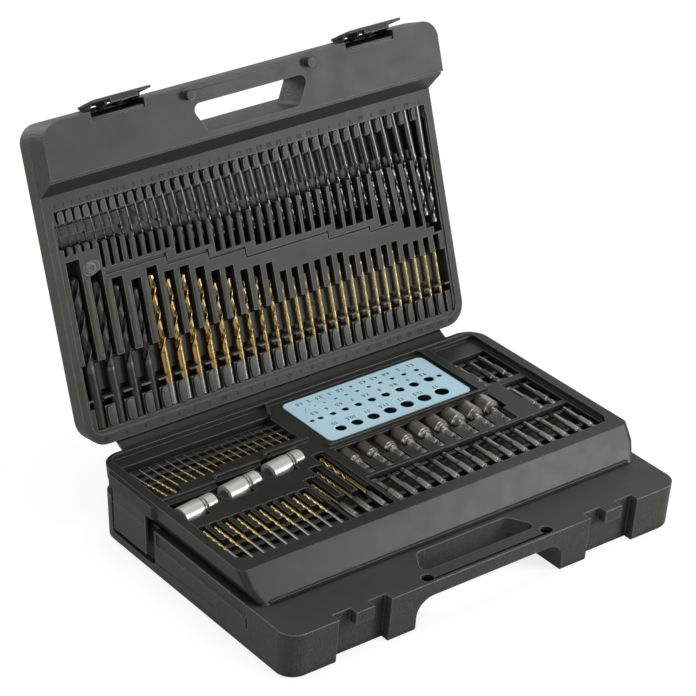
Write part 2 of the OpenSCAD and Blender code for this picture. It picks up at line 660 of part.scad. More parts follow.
// Open recess below a row of bits, from x[0] to x[1] and v[0] to v[1]; ribs as high as the axes cross
// it, each at its own distance from the shank ends
module ribbed(x, v, w, ribs) {
    difference() {
        block([x[0], -v[1], -w - rib_h], [x[1], -v[0], 0]);
        for (r = ribs) block([x[0] - over, r - v[1], -w - rib_h - over], [x[1] + over, r + rib_t - v[1], -w]);
    }
}
module small_row_pocket() {
    x0 = tray_row_x0 - 5;
    x1 = tray_x[len(tray_x) - 1] + 9;
    w = 8;
    difference() {
        union() {
            block([x0, -56, -w - rib_h], [x1, -tray_row_v + 8, 0]);
            for (i = [0:len(tray_x) - 1]) block([tray_x[i] - 4, -tray_row_v - tray_l[i] - 2, -w - rib_h],
                                                [tray_x[i] + 10, -54, 0]);
        }
        for (v = [28, 38, 48]) block([x0 - over, -v - 3, -w - rib_h - over], [x1 + over, -v, -w]);
    }
    for (i = [0:len(tray_x) - 1]) translate([tray_x[i], -tray_row_v, 0]) rotate(bit_lean + 3)
        translate([0, tray_row_v, 0]) channel(0, tray_row_v - 0.5, 54, w, tray_d[i] / 2 + seat_gap);
}
module small_gold_bits() color("#b9a05a") on_tray() {
    for (i = [0:len(tray_x) - 1]) translate([tray_x[i], -tray_row_v, -8]) rotate(180 + bit_lean + 3)
        plain_drill(tray_d[i], tray_l[i]);
}
module sleeve_pockets() {
    for (i = [0:2]) translate([sleeve_at[i][0], -sleeve_at[i][1], 0]) {
        rotate(sleeve_turn) {
            translate([-sleeve_len / 2, 0, -sleeve_w]) rotate([0, 90, 0])
                cylinder(r = sleeve_r + seat_gap, h = sleeve_len, $fn = 48);
            block([-sleeve_len / 2, -sleeve_r - seat_gap, -sleeve_w],
                  [sleeve_len / 2, sleeve_r + seat_gap, 0]);
            // open space in front of the bored end
            block([-sleeve_len / 2 - (i == 0 ? 3.5 : 8), -sleeve_r, -sleeve_w - 5],
                  [over - sleeve_len / 2, sleeve_r, 0]);
        }
        block([-18, 2, -12], [22, 13, 0]);
        block([-21, -17, -14], [4, -3, 0]);
    }
}
module depth_stop_sleeves() color("#bfbfba") on_tray() {
    for (p = sleeve_at) translate([p[0], -p[1], -sleeve_w]) rotate(sleeve_turn - 90)
        translate([0, -sleeve_len / 2, 0]) sleeve();
}
module front_row_pockets() {
    w = 8.5;
    // open recess with cross ribs under the shanks, a lower deck round the tips, and a channel and
    // a tip pocket for each bit
    ribbed([front_x[0] - 5, front_x[9] + 5], [front_v - 40, front_v + 0.5], w, [8, 19, 30]);
    block([front_x[0] - 5, -front_v + 39, -w + 1.5], [front_x[9] + 5, -front_v + front_l[0] + 2, 0]);
    for (i = [0:9]) {
        channel(front_x[i], front_v - 42, front_v + 0.4, w, front_d[i] / 2 + seat_gap);
        channel(front_x[i], front_v - front_l[i] - 3, front_v - 36, w + 1, front_d[i] / 2 + 1.8);
    }
    for (i = [0:2]) {
        channel(hex_x[i], front_v - 37, front_v + 2.4, driver_w, hex_af / 2 / cos(30) + seat_gap);
        channel(hex_x[i], front_v - hex_l[i] - 3, front_v - 33, driver_w, hex_d[i] / 2 + 1.6);
        block([hex_x[i] - 6.5, -front_v + 39, 1.5 - driver_w], [hex_x[i] + 6.5, -front_v + hex_l[i] + 2, 0]);
    }
    ribbed([hex_x[0] - 7, hex_x[2] + 6.5], [front_v - 40, front_v + 2.5], driver_w, [8, 23]);
}
module front_gold_bits() color("#c0a050") on_tray() {
    for (i = [0:9]) translate([front_x[i], -front_v, -8.5]) twist_drill(front_d[i], front_l[i], false);
}
module hex_shank_drills() color("#b8b090") on_tray() {
    for (i = [0:2]) translate([hex_x[i], -front_v - 2, -driver_w]) {
        hex_shank(34);
        translate([0, 33.5, 0]) twist_drill(hex_d[i], hex_l[i] - 33.5, false);
    }
}
module nut_pockets() {
    for (i = [0:nut_driver_count - 1]) {
        x = nut_x0 + i * nut_pitch;
        channel(x, nut_v - nut_len + 23, nut_v + 0.5, driver_w + 1, hex_af / 2 / cos(30) + seat_gap);
        channel(x, nut_v - nut_len - 2, nut_v - nut_len + 24.5, driver_w + 1, nut_r(i) + seat_gap);
    }
    x1 = nut_x0 + (nut_driver_count - 1) * nut_pitch;
    block([nut_x0 - nut_r(0) - 2.5, nut_len - nut_v - 24.5, -driver_w - 1],
          [x1 + nut_r(nut_driver_count - 1) + 2, nut_len - nut_v + 2, 0]);
    block([nut_x0 - 6, -nut_v - 0.5, 2.5 - driver_w - 1], [x1 + 6, nut_len - nut_v - 23, 0]);
}
module nut_drivers() color("#77766c") on_tray() {
    for (i = [0:nut_driver_count - 1])
        translate([nut_x0 + i * nut_pitch, -nut_v, -driver_w - 1]) nut_driver(nut_r(i));
}
module driver_pocket(x, v) {
    channel(x, v - driver_len - 1.5, v + 0.5, driver_w, hex_af / 2 / cos(30) + seat_gap);
    block([x - 5, -v + 28, -driver_w - 5], [x + 5, -v + 45, 0]);
}
module driver_recess(x0, x1, v) {
    ribbed([x0, x1], [v - driver_len - 1.5, v + 0.5], driver_w, [4, 18, 46]);
}
module driver_pockets() {
    driver_recess(driver_x0 - 6, driver_x[driver_count - 1] + 6, driver_v);
    driver_recess(column_x[1] - 6, column_x[2] + 7.5, driver_v - driver_len - 7);
    driver_recess(column_x[0] - 6, column_x[2] + 7.5, driver_v - 2 * driver_len - 16);
    for (x = driver_x) driver_pocket(x, driver_v);
    for (i = [1, 2]) driver_pocket(column_x[i], driver_v - driver_len - 7);
    for (x = column_x) driver_pocket(x, driver_v - 2 * driver_len - 16);
}
module driver_bits_front() color("#6b6b66") on_tray() {
    for (i = [0:driver_count - 1]) translate([driver_x[i], -driver_v, -driver_w]) driver_bit(i % 3);
}
module driver_bits_right() color("#6b6b66") on_tray() {
    for (i = [1, 2]) translate([column_x[i], -driver_v + driver_len + 7, -driver_w]) driver_bit(i - 1);
}
module driver_bits_rear() color("#6b6b66") on_tray() {
    for (i = [0:2]) translate([column_x[i], -driver_v + 2 * driver_len + 16, -driver_w]) driver_bit(i);
}
module gauge_pocket() {
    translate([gauge_x, -gauge_v, -gauge_w_depth - gauge_t - 0.3])
        linear_extrude(gauge_t + 5) rounded(gauge_w / 2 + 0.5, -gauge_d / 2 - 0.5, gauge_d / 2 + 0.5, 6, 6);
    // well under the plate
    translate([gauge_x, -gauge_v, -14]) linear_extrude(14)
        rounded(gauge_w / 2 - 4, -gauge_d / 2 + 4, gauge_d / 2 - 4, 5, 5);
}
// Drill gauge: a plate with three rows of test holes
module drill_gauge() color("#a9cfe0") on_tray() {
    share_x = gauge_w / 152.5;
    share_v = gauge_d / 76;
    translate([gauge_x, -gauge_v, -gauge_w_depth - gauge_t]) difference() {
        linear_extrude(gauge_t) rounded(gauge_w / 2, -gauge_d / 2, gauge_d / 2, 6, 6);
        for (row = gauge_rows) for (hole = row[1])
            translate([hole[0] * share_x, gauge_d / 2 - row[0] * share_v, -over])
                cylinder(d = hole[1], h = gauge_t + 2 * over, $fn = 24);
    }
}

// ---------- side latches ----------
// Flap that hangs from the side rail of the tray; its top third leans out
module side_latch(s) {
    x0 = side + rail_out - side_latch_t / 2;         // crease line
    y0 = rear - side_latch_v - side_latch_w;
    t = side_latch_t;
    bend = side_latch_h * 0.3;
    mirror([s > 0 ? 0 : 1, 0, 0]) translate([x0, y0 + side_latch_w, side_hinge_z]) rotate([90, 0, 0]) {
        linear_extrude(side_latch_w) {
            circle(d = t);
            translate([-t / 2, -side_latch_h + 2]) square([t, side_latch_h - 2]);
            translate([-t / 2 - 1.2, -side_latch_h]) square([t + 1.2, 3]);
            translate([0, -bend]) circle(d = t * 1.4);
        }
    }
}
module side_latch_left() color("#454642") side_latch(-1);
module side_latch_right() color("#454642") side_latch(1);

// ---------- lid ----------
module lid_shell() color("#484945") opened() {
    difference() {
        lid_body();
        grip_hole(part_z - over, lid_top + over);
        scoop(part_z + lid_bar_h, lid_top, 12);
        for (s = [-1, 1]) lid_latch_recess(s);
        // sealed hollow between the two walls
        translate([0, 0, lid_z + lid_hollow_w]) linear_extrude(lid_h - lid_hollow_w - lid_skin)
            rounded(side - 15, rear - step_v + 4, rear - 12, 3, rear_r - 4);
        translate([0, rear, lid_z]) rotate([180, 0, 0]) lid_pockets();
    }
    for (s = [-1, 1]) translate([s * peg_x, rear - peg_v, part_z - peg_len])
        cylinder(r1 = peg_r - 0.7, r2 = peg_r, h = peg_len + over);
}
module lid_body() {
    step_y = rear - step_v;
    notch = bead_h + 0.8;                    // room for the bead of the tray
    intersection() {
        hull() {
            outline(part_z, 0, 0);
            outline(lid_z, 0, lid_draft * 0.4);
            outline(lid_top - edge_r * 2, 2, lid_draft, 1);
            outline(lid_top - 0.01, 2 + edge_r * 1.6, lid_draft + edge_r * 1.6, 1 + edge_r * 1.4);
        }
        rotate([90, 0, 90]) linear_extrude(case_w + 2, center = true)
            polygon([[rear + 1, lid_z], [rear + 1, lid_top + 1], [front - 1, lid_top + 1],
                     [front - 1, part_z], [step_y - 0.4, part_z], [step_y - 0.4, part_z + notch],
                     [step_y + (tray_lean - 2) * notch / (lid_z - part_z), part_z + notch],
                     [step_y + tray_lean - 2, lid_z]]);
    }
}
// Recess in the front of the lid that takes a latch
module lid_latch_recess(s) {
    block([s * latch_x - seat_w / 2, front - over, part_z - over],
          [s * latch_x + seat_w / 2, front + 8, trunnion[1] + 8]);
}
module lid_pockets() {
    // field inside the rim
    translate([0, 0, -lid_deck]) linear_extrude(lid_deck + over)
        rounded(side - field_side, field_v0, field_v1, field_r, field_r);
    small_bit_pockets();
    large_bit_pockets();
    stepped_groove();
}
// Channel along Y in the lid panel, centred on x, from v0 to v1
module lid_channel(v0, v1, w, r) {
    translate([0, v0, -w]) rotate([-90, 0, 0]) cylinder(r = r, h = v1 - v0, $fn = 24);
    block([-r, v0, -w], [r, v1, over]);
}
// Bits lean about the middle of their pads, so that their tips point a little to the right;
// the last two stand straighter, beside the rim
function lean(i) = bit_lean * min(1, (len(lid_x) - 1 - i) * 0.75);
module leaning(i) {
    translate([lid_x[i], lid_row_v - pad_len / 2, 0]) rotate(lean(i))
        translate([0, pad_len / 2 - lid_row_v, 0]) children();
}
// Where one bit's share of the lid ends along X
function share(i) = i < 0 ? -side + field_side + 2 : i == last ? side - field_side - 1
                  : (lid_x[i] + lid_x[i + 1]) / 2;
module small_bit_pockets() {
    pads_v = lid_row_v - pad_len;
    // strip of thumb pads and the deep gap under it
    block([share(-1), pads_v, -pad_top], [share(last), lid_row_v + 0.4, over]);
    block([share(-1), pads_v - 4, -gap_w], [share(last), pads_v, over]);
    // flat band, then a second gap: both step down with the length of the bits
    for (i = [0:last]) if (i == 0 || lid_rib[i] != lid_rib[i - 1]) {
        same = [for (k = [i:last]) if (lid_rib[k] == lid_rib[i]) k];
        x0 = share(i - 1);
        x1 = share(same[len(same) - 1]) + (same[len(same) - 1] == last ? 0 : 0.3);
        block([x0, field_v1 - lid_rib[i] + 6, -band_w], [x1, pads_v - 3, over]);
        block([x0, field_v1 - lid_rib[i], -gap_w], [x1, field_v1 - lid_rib[i] + 8, over]);
    }
    for (i = [0:last]) {
        leaning(i) lid_channel(pads_v - over, lid_row_v + 0.3, lid_row_w, lid_d[i] / 2 + seat_gap);
        small_slot(i);
    }
}
// Slot for the fluted end: upright for the small bits, leaning for the large ones
module small_slot(i) {
    v0 = field_v1 - lid_end[i];
    v1 = field_v1 - lid_rib[i] + 1;
    tip_v = lid_row_v - lid_l[i];
    t = tan(lean(i));
    follow = lid_d[i] < 4.2 ? 0 : 0.75;
    middle = (v1 + min(tip_v, v1)) / 2;
    x = lid_x[i] + (lid_row_v - pad_len / 2 - middle) * t;
    half = lid_d[i] / 2 + 0.8 + (v1 - min(tip_v, v1)) / 2 * t * (1 - follow);
    d0 = (middle - v0) * t * follow;
    d1 = (middle - v1) * t * follow;
    translate([0, 0, -slot_w]) linear_extrude(slot_w + over)
        polygon([[x + d0 - half, v0], [x + d0 + half, v0], [x + d1 + half, v1], [x + d1 - half, v1]]);
}
module large_bit_pockets() {
    x0 = -side + field_side + 2;
    x1 = side - field_side - 2;
    pads_v = heavy_row_v + heavy_pad_len;
    block([x0, heavy_row_v - 0.4, -pad_top], [x1, pads_v, over]);
    block([x0, pads_v - 0.2, -gap_w], [x1, pads_v + 6.5, over]);
    block([x0, pads_v + 8, -gap_w], [x1, band_v0, over]);
    block([x0, band_v0 - 0.2, -band_w], [x1, band_v1 + 0.2, over]);
    block([x0, band_v1, -gap_w], [x1, slot_v0, over]);
    for (i = [0:len(heavy_x) - 1]) translate([heavy_x[i], 0, 0]) {
        seat_r = heavy_d[i] / 2 + seat_gap;
        lid_channel(heavy_row_v - 0.3, heavy_row_w + seat_r > band_w + 0.01 ? slot_v0 : pads_v + 9,
                    heavy_row_w, seat_r);
        width = heavy_d[i] / 2 + 1.4;
        block([-width, slot_v0 - 1, -slot_w], [width, heavy_row_v + heavy_l[i] + heavy_gap[i], over]);
    }
}
// Groove that steps down between the two rows of slots
module stepped_groove() {
    for (k = [0:len(groove_steps) - 1]) {
        step = groove_steps[k];
        end_x = k == len(groove_steps) - 1 ? groove_end : groove_steps[k + 1][0];
        v = field_v1 - depth_share * step[1];
        block([step[0], v - step[2] / 2, -lid_deck - groove_deep], [end_x, v + step[2] / 2, over]);
        if (k > 0) block([step[0] - 1.2, v - step[2] / 2, -lid_deck - groove_deep],
                         [step[0] + 0.1, field_v1 - depth_share * groove_steps[k - 1][1], over]);
    }
}
module lid_drill(i, fine) {
    leaning(i) translate([0, lid_row_v, -lid_row_w]) rotate(180) {
        if (lid_d[i] < 2.8) plain_drill(lid_d[i], lid_l[i]);
        else twist_drill(lid_d[i], lid_l[i], fine);
    }
}
module small_black_bits() color("#45474a") on_lid() for (i = [0:15]) lid_drill(i, false);
module medium_black_bits() color("#45474a") on_lid() for (i = [16:31]) lid_drill(i, false);
module large_black_bits() color("#45474a") on_lid() for (i = [32:37]) lid_drill(i, true);
module heavy_drill(i, fine) {
    translate([heavy_x[i], heavy_row_v, -heavy_row_w]) twist_drill(heavy_d[i], heavy_l[i], fine);
}
module heavy_black_bits() color("#3c3f3e") on_lid() for (i = [0:heavy_count - 1]) heavy_drill(i, true);
module large_gold_bits() color("#c8a35a") on_lid() {
    for (i = [heavy_count:large_count - 1]) heavy_drill(i, true);
}
module medium_gold_bits() color("#c8a35a") on_lid() {
    for (i = [large_count:len(heavy_x) - 1]) heavy_drill(i, false);
}

// ---------- front latches ----------
// Latch as it sits when closed; it then turns out to its open angle
module latch(s) {
    t = latch_t;
    plate_y = front - 0.5 - t;
    tip_z = part_z - 15;
    hook_z = base_h - block_h - 0.5;
    opened() translate([s * latch_x, trunnion[0], trunnion[1]]) rotate([-latch_rest, 0, 0])
        translate([0, -trunnion[0], -trunnion[1]]) {
            // plate with drawn-in upper corners
            translate([0, plate_y + t, 0]) rotate([90, 0, 0]) linear_extrude(t)
                polygon([[-latch_w / 2, tip_z], [latch_w / 2, tip_z], [latch_w / 2, part_z + 4],
                         [seat_w / 2 - 0.6, trunnion[1] - 4], [seat_w / 2 - 0.6, trunnion[1] + 3],
                         [-seat_w / 2 + 0.6, trunnion[1] + 3], [-seat_w / 2 + 0.6, trunnion[1] - 4],
                         [-latch_w / 2, part_z + 4]]);
            // trunnion bar and the ribs that carry it
            translate([-seat_w / 2 + 0.6, trunnion[0], trunnion[1]]) rotate([0, 90, 0])
                cylinder(r = trunnion_r, h = seat_w - 1.2, $fn = 24);
            for (x = [-1, -0.34, 0.34, 1]) translate([x * (seat_w / 2 - 2.1) - 1.1, 0, 0])
                rotate([90, 0, 90]) linear_extrude(2.2)
                    polygon([[plate_y + 0.2, trunnion[1] + 2], [trunnion[0], trunnion[1] + 1.5],
                             [trunnion[0] + 1, trunnion[1] - 1], [front + 3, part_z + 4],
                             [plate_y + 0.2, part_z - 1]]);
            // hook bar
            block([-block_w / 2 - 4, plate_y + 0.2, hook_z - 3], [block_w / 2 + 4, front + 3.2, hook_z]);
        }
}
module latch_left() color("#2f302e") latch(-1);
module latch_right() color("#2f302e") latch(1);

base_shell();
masonry_bits();
wood_bits();
spade_bits();
tray_hinge_base_leaf();
tray_hinge_tray_leaf();
tray_shell();
side_latch_left();
side_latch_right();
drill_gauge();
depth_stop_sleeves();
small_gold_bits();
front_gold_bits();
hex_shank_drills();
nut_drivers();
driver_bits_front();
driver_bits_right();
driver_bits_rear();
lid_hinge_tray_leaf();
lid_hinge_lid_leaf();
lid_shell();
latch_left();
latch_right();
small_black_bits();
medium_black_bits();
large_black_bits();
heavy_black_bits();
large_gold_bits();
medium_gold_bits();
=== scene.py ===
import math

import bmesh
import bpy
import numpy
from mathutils import Matrix, Vector


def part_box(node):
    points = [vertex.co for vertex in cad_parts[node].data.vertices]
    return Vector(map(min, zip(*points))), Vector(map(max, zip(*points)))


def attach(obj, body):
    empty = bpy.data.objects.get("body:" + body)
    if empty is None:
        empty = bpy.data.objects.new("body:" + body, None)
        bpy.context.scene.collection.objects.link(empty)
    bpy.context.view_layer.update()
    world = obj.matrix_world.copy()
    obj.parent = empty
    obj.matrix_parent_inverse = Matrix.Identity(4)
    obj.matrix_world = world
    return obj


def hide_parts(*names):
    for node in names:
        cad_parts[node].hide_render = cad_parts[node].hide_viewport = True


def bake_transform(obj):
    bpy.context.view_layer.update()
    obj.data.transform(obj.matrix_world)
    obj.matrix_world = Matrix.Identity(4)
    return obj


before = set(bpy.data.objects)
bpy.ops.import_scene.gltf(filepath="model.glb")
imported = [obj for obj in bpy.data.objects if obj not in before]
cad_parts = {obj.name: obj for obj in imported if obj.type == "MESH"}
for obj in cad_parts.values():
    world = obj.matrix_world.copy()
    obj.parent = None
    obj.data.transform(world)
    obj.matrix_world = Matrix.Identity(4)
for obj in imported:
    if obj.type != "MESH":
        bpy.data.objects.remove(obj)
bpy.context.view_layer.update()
print("frame loaded")

mm = 0.001

# Case: the same figures as in the part, in millimetres and degrees
case = {
    "rear": 141.0,
    "lidRim": 69.6,
    "lidAxis": (147.6, 66.1),
    "trayAxis": (146.0, 43.15),
    "lidOpen": 105.9,
    "hingeHalf": 172.0,
}


# Frames of the lid and the tray
def axesMatrix(x, y, z, origin):
    m = Matrix.Identity(4)
    for row in range(3):
        m[row] = (x[row], y[row], z[row], origin[row])
    return m


def lidPoint(x, v, h):
    # v runs up the open lid from its hinge side, h stands out of the rim's plane
    turn = math.radians(-case["lidOpen"])
    ay, az = case["lidAxis"]
    dy = case["rear"] - v - ay
    dz = case["lidRim"] - h - az
    y = ay + dy * math.cos(turn) - dz * math.sin(turn)
    z = az + dy * math.sin(turn) + dz * math.cos(turn)
    return Vector((x, y, z)) * mm


def lidMatrix(x, v, h):
    # local X along the case, Y up the lid, Z out of its panel
    o = lidPoint(x, v, h)
    up = (lidPoint(x, v + 1, h) - o).normalized()
    out = (lidPoint(x, v, h + 1) - o).normalized()
    return axesMatrix((1, 0, 0), up, out, o)


# Materials
def srgb(r, g, b):
    out = []
    for c in (r, g, b):
        c = c / 255
        out.append(c / 12.92 if c <= 0.04045 else ((c + 0.055) / 1.055) ** 2.4)
    return (*out, 1)


class Nodes:
    # short calls for the nodes that the materials and the world use
    def __init__(self, owner):
        owner.use_nodes = True
        self.tree = owner.node_tree
        self.tree.nodes.clear()

    def node(self, kind):
        return self.tree.nodes.new(kind)

    def link(self, a, b):
        self.tree.links.new(a, b)

    def feed(self, socket, value):
        # a number or a colour is set, anything else is linked
        if isinstance(value, (int, float, tuple)):
            socket.default_value = value
        else:
            self.link(value, socket)

    def spread(self, value, low, high, toLow=0.0, toHigh=1.0):
        n = self.node("ShaderNodeMapRange")
        for key, number in (("From Min", low), ("From Max", high), ("To Min", toLow), ("To Max", toHigh)):
            n.inputs[key].default_value = number
        self.link(value, n.inputs["Value"])
        return n.outputs[0]

    def math(self, how, a, b):
        n = self.node("ShaderNodeMath")
        n.operation = how
        self.feed(n.inputs[0], a)
        self.feed(n.inputs[1], b)
        return n.outputs[0]

    def dot(self, a, b):
        n = self.node("ShaderNodeVectorMath")
        n.operation = "DOT_PRODUCT"
        self.feed(n.inputs[0], a)
        self.feed(n.inputs[1], b)
        return n.outputs["Value"]


class Shade(Nodes):
    # one node material
    def __init__(self, name, metallic=0.0, specular=0.5):
        self.material = bpy.data.materials.new(name)
        super().__init__(self.material)
        self.out = self.node("ShaderNodeOutputMaterial")
        self.shader = self.node("ShaderNodeBsdfPrincipled")
        self.shader.inputs["Metallic"].default_value = metallic
        self.shader.inputs["Specular IOR Level"].default_value = specular
        self.link(self.shader.outputs[0], self.out.inputs[0])
        self.bumps = None

    def coords(self, which="Object", scale=(1, 1, 1)):
        texture = self.node("ShaderNodeTexCoord")
        mapping = self.node("ShaderNodeMapping")
        mapping.inputs["Scale"].default_value = scale
        self.link(texture.outputs[which], mapping.inputs["Vector"])
        return mapping.outputs[0]

    def noise(self, vector, scale, detail=3.0, rough=0.55):
        n = self.node("ShaderNodeTexNoise")
        n.inputs["Scale"].default_value = scale
        n.inputs["Detail"].default_value = detail
        n.inputs["Roughness"].default_value = rough
        self.link(vector, n.inputs["Vector"])
        return n.outputs["Fac"]

    def cells(self, vector, scale):
        n = self.node("ShaderNodeTexVoronoi")
        n.inputs["Scale"].default_value = scale
        self.link(vector, n.inputs["Vector"])
        return n.outputs["Distance"]

    def blend(self, factor, a, b):
        n = self.node("ShaderNodeMix")
        n.data_type = "RGBA"
        self.link(factor, n.inputs[0])
        self.feed(n.inputs[6], a)  # sockets 6 and 7 are the two colours
        self.feed(n.inputs[7], b)
        return n.outputs[2]

    def bump(self, height, strength, distance):
        n = self.node("ShaderNodeBump")
        n.inputs["Strength"].default_value = strength
        n.inputs["Distance"].default_value = distance
        self.link(height, n.inputs["Height"])
        if self.bumps:
            self.link(self.bumps, n.inputs["Normal"])
        self.bumps = n.outputs[0]
        self.link(self.bumps, self.shader.inputs["Normal"])

    def openness(self, reach):
        # 1 on open surfaces, falling to 0 deep in a slot; it masks the painted shade of the plastics
        n = self.node("ShaderNodeAmbientOcclusion")
        n.samples = 6
        n.inputs["Distance"].default_value = reach
        return self.spread(n.outputs["AO"], 0.15, 0.85)

    def edges(self, width):
        # 1 on edges, where the rounded normal leaves the true one; it masks the painted edge highlight
        n = self.node("ShaderNodeBevel")
        n.samples = 4
        n.inputs["Radius"].default_value = width
        same = self.dot(n.outputs[0], self.node("ShaderNodeNewGeometry").outputs["Normal"])
        return self.spread(same, 0.995, 0.88)

    def colour(self, socket):
        self.link(socket, self.shader.inputs["Base Color"])

    def rough(self, socket):
        self.link(socket, self.shader.inputs["Roughness"])


plastic = {
    "light": (66, 67, 62),
    "dark": (52, 53, 49),
    "scuff": (92, 93, 86),
    # edge and edgeWidth are the colour and the width of the painted highlight along edges
    "edge": (148, 149, 140),
    "edgeWidth": 0.0013,
    # the next two set the painted shade in slots: its share of the dark colour, and how far it reaches
    "hollow": 0.14,
    "hollowReach": 0.011,
    "grain": 620.0,
    "grainDepth": 0.0005,
    "speckle": 0.6,
    "rough": (0.39, 0.47),
    "cloudScale": 9,
    "fineScale": 160,
    "scuffScale": 240,
    "scuffShare": 0.55,
}


def dimmed(colour, share):
    return tuple(c * share for c in colour[:3]) + (1,)


def mouldedPlastic(name, tint=1.0, grain=1.0, facing=None, gloss=0.0):
    # facing is the way that the smooth inside looks; the pebble grain stays off it
    # tint scales every colour; the darker and lighter copies below are painted shade and painted highlight
    s = Shade(name, specular=0.26)
    at = s.coords()
    broad = s.noise(at, plastic["cloudScale"], 4, 0.6)
    fine = s.noise(at, plastic["fineScale"], 3, 0.6)
    light, dark, scuff, edge = (srgb(*(c * tint for c in plastic[key]))
                                for key in ("light", "dark", "scuff", "edge"))
    base = s.blend(s.spread(broad, 0.3, 0.7), dark, light)
    # fine rubbed marks
    streaks = s.noise(s.coords(scale=(1, 0.12, 1)), plastic["scuffScale"], 2, 0.7)
    marks = s.math("MULTIPLY", s.spread(streaks, 0.62, 0.8), s.spread(fine, 0.45, 0.75))
    base = s.blend(s.math("MULTIPLY", marks, plastic["scuffShare"]), base, scuff)
    pebble = s.cells(at, plastic["grain"])
    pebble = s.math("ADD", s.math("MULTIPLY", pebble, 0.7), s.noise(at, plastic["grain"] * 1.6, 2, 0.5))
    if facing:
        way = s.dot(s.node("ShaderNodeTexCoord").outputs["Normal"], facing)
        smooth = s.spread(way, 0.35, 0.6, 1.0, 0.12)
        pebble = s.math("MULTIPLY", pebble, smooth)
        # the tops of the pebble grain are worn light
        tops = s.spread(s.noise(at, plastic["grain"] * 1.3, 2, 0.6), 0.42, 0.66)
        tops = s.math("MULTIPLY", smooth, tops)
        base = s.blend(s.math("MULTIPLY", tops, plastic["speckle"]), base, scuff)
    # slots get painted shade towards their floor, and edges get a painted highlight broken up by noise
    unshaded = s.openness(plastic["hollowReach"])
    base = s.blend(unshaded, dimmed(dark, plastic["hollow"]), base)
    # painted highlight along edges, broken up by noise and kept out of the painted shade
    edgeHighlight = s.math("MULTIPLY", s.edges(plastic["edgeWidth"]), s.spread(fine, 0.25, 0.6, 0.45, 1.0))
    s.colour(s.blend(s.math("MULTIPLY", edgeHighlight, unshaded), base, edge))
    low, high = plastic["rough"]
    s.rough(s.spread(s.noise(at, 60, 4, 0.65), 0.3, 0.7, low - gloss, high - gloss))
    if grain > 0:
        s.bump(pebble, 0.7 * grain, plastic["grainDepth"])
    s.bump(s.noise(at, 34, 3, 0.5), 0.10, 0.0008)
    return s.material


# Metals: main colour, darker and lighter ones, and the range of roughness
metals = {
    "gold": {"a": (216, 184, 118), "b": (186, 152, 90), "c": (238, 222, 166), "rough": (0.18, 0.32)},
    "fineGold": {"a": (238, 214, 148), "b": (212, 182, 110), "c": (252, 244, 206), "rough": (0.2, 0.36)},
    "black": {"a": (66, 68, 66), "b": (52, 54, 53), "c": (112, 114, 111), "rough": (0.34, 0.5)},
    # lighter steel for the ring where a black drill's flutes begin: a painted highlight
    "runOutHighlight": {"a": (104, 105, 101), "b": (84, 85, 82), "c": (142, 142, 137), "rough": (0.3, 0.44)},
    "grey": {"a": (112, 113, 109), "b": (86, 87, 84), "c": (166, 166, 160), "rough": (0.24, 0.4)},
    "bare": {"a": (196, 194, 188), "b": (166, 164, 158), "c": (224, 222, 217), "rough": (0.16, 0.3)},
    "driver": {"a": (172, 172, 165), "b": (134, 135, 128), "c": (214, 213, 206), "rough": (0.24, 0.4)},
    "socket": {"a": (176, 174, 166), "b": (138, 136, 129), "c": (214, 212, 204), "rough": (0.26, 0.42)},
    "ring": {"a": (168, 167, 160), "b": (132, 131, 125), "c": (204, 202, 195), "rough": (0.22, 0.36)},
    "zinc": {"a": (206, 206, 200), "b": (188, 188, 182), "c": (228, 228, 222), "rough": (0.30, 0.44)},
    "masonry": {"a": (150, 152, 154), "b": (120, 122, 124), "c": (190, 190, 190), "rough": (0.3, 0.46)},
    "wood": {"a": (160, 152, 134), "b": (126, 118, 102), "c": (196, 190, 176), "rough": (0.28, 0.42)},
    "carbide": {"a": (90, 92, 96), "b": (72, 74, 78), "c": (130, 132, 136), "rough": (0.4, 0.55)},
}

# Painted shade and highlights of the flutes, as shares of the way from one cutting edge to the next
flute = {
    "from": 0.58,
    "deep": 0.68,
    "until": 0.97,
    "highlightAt": 0.80,
    "dark": 0.36,
    "margin": 0.06,
}


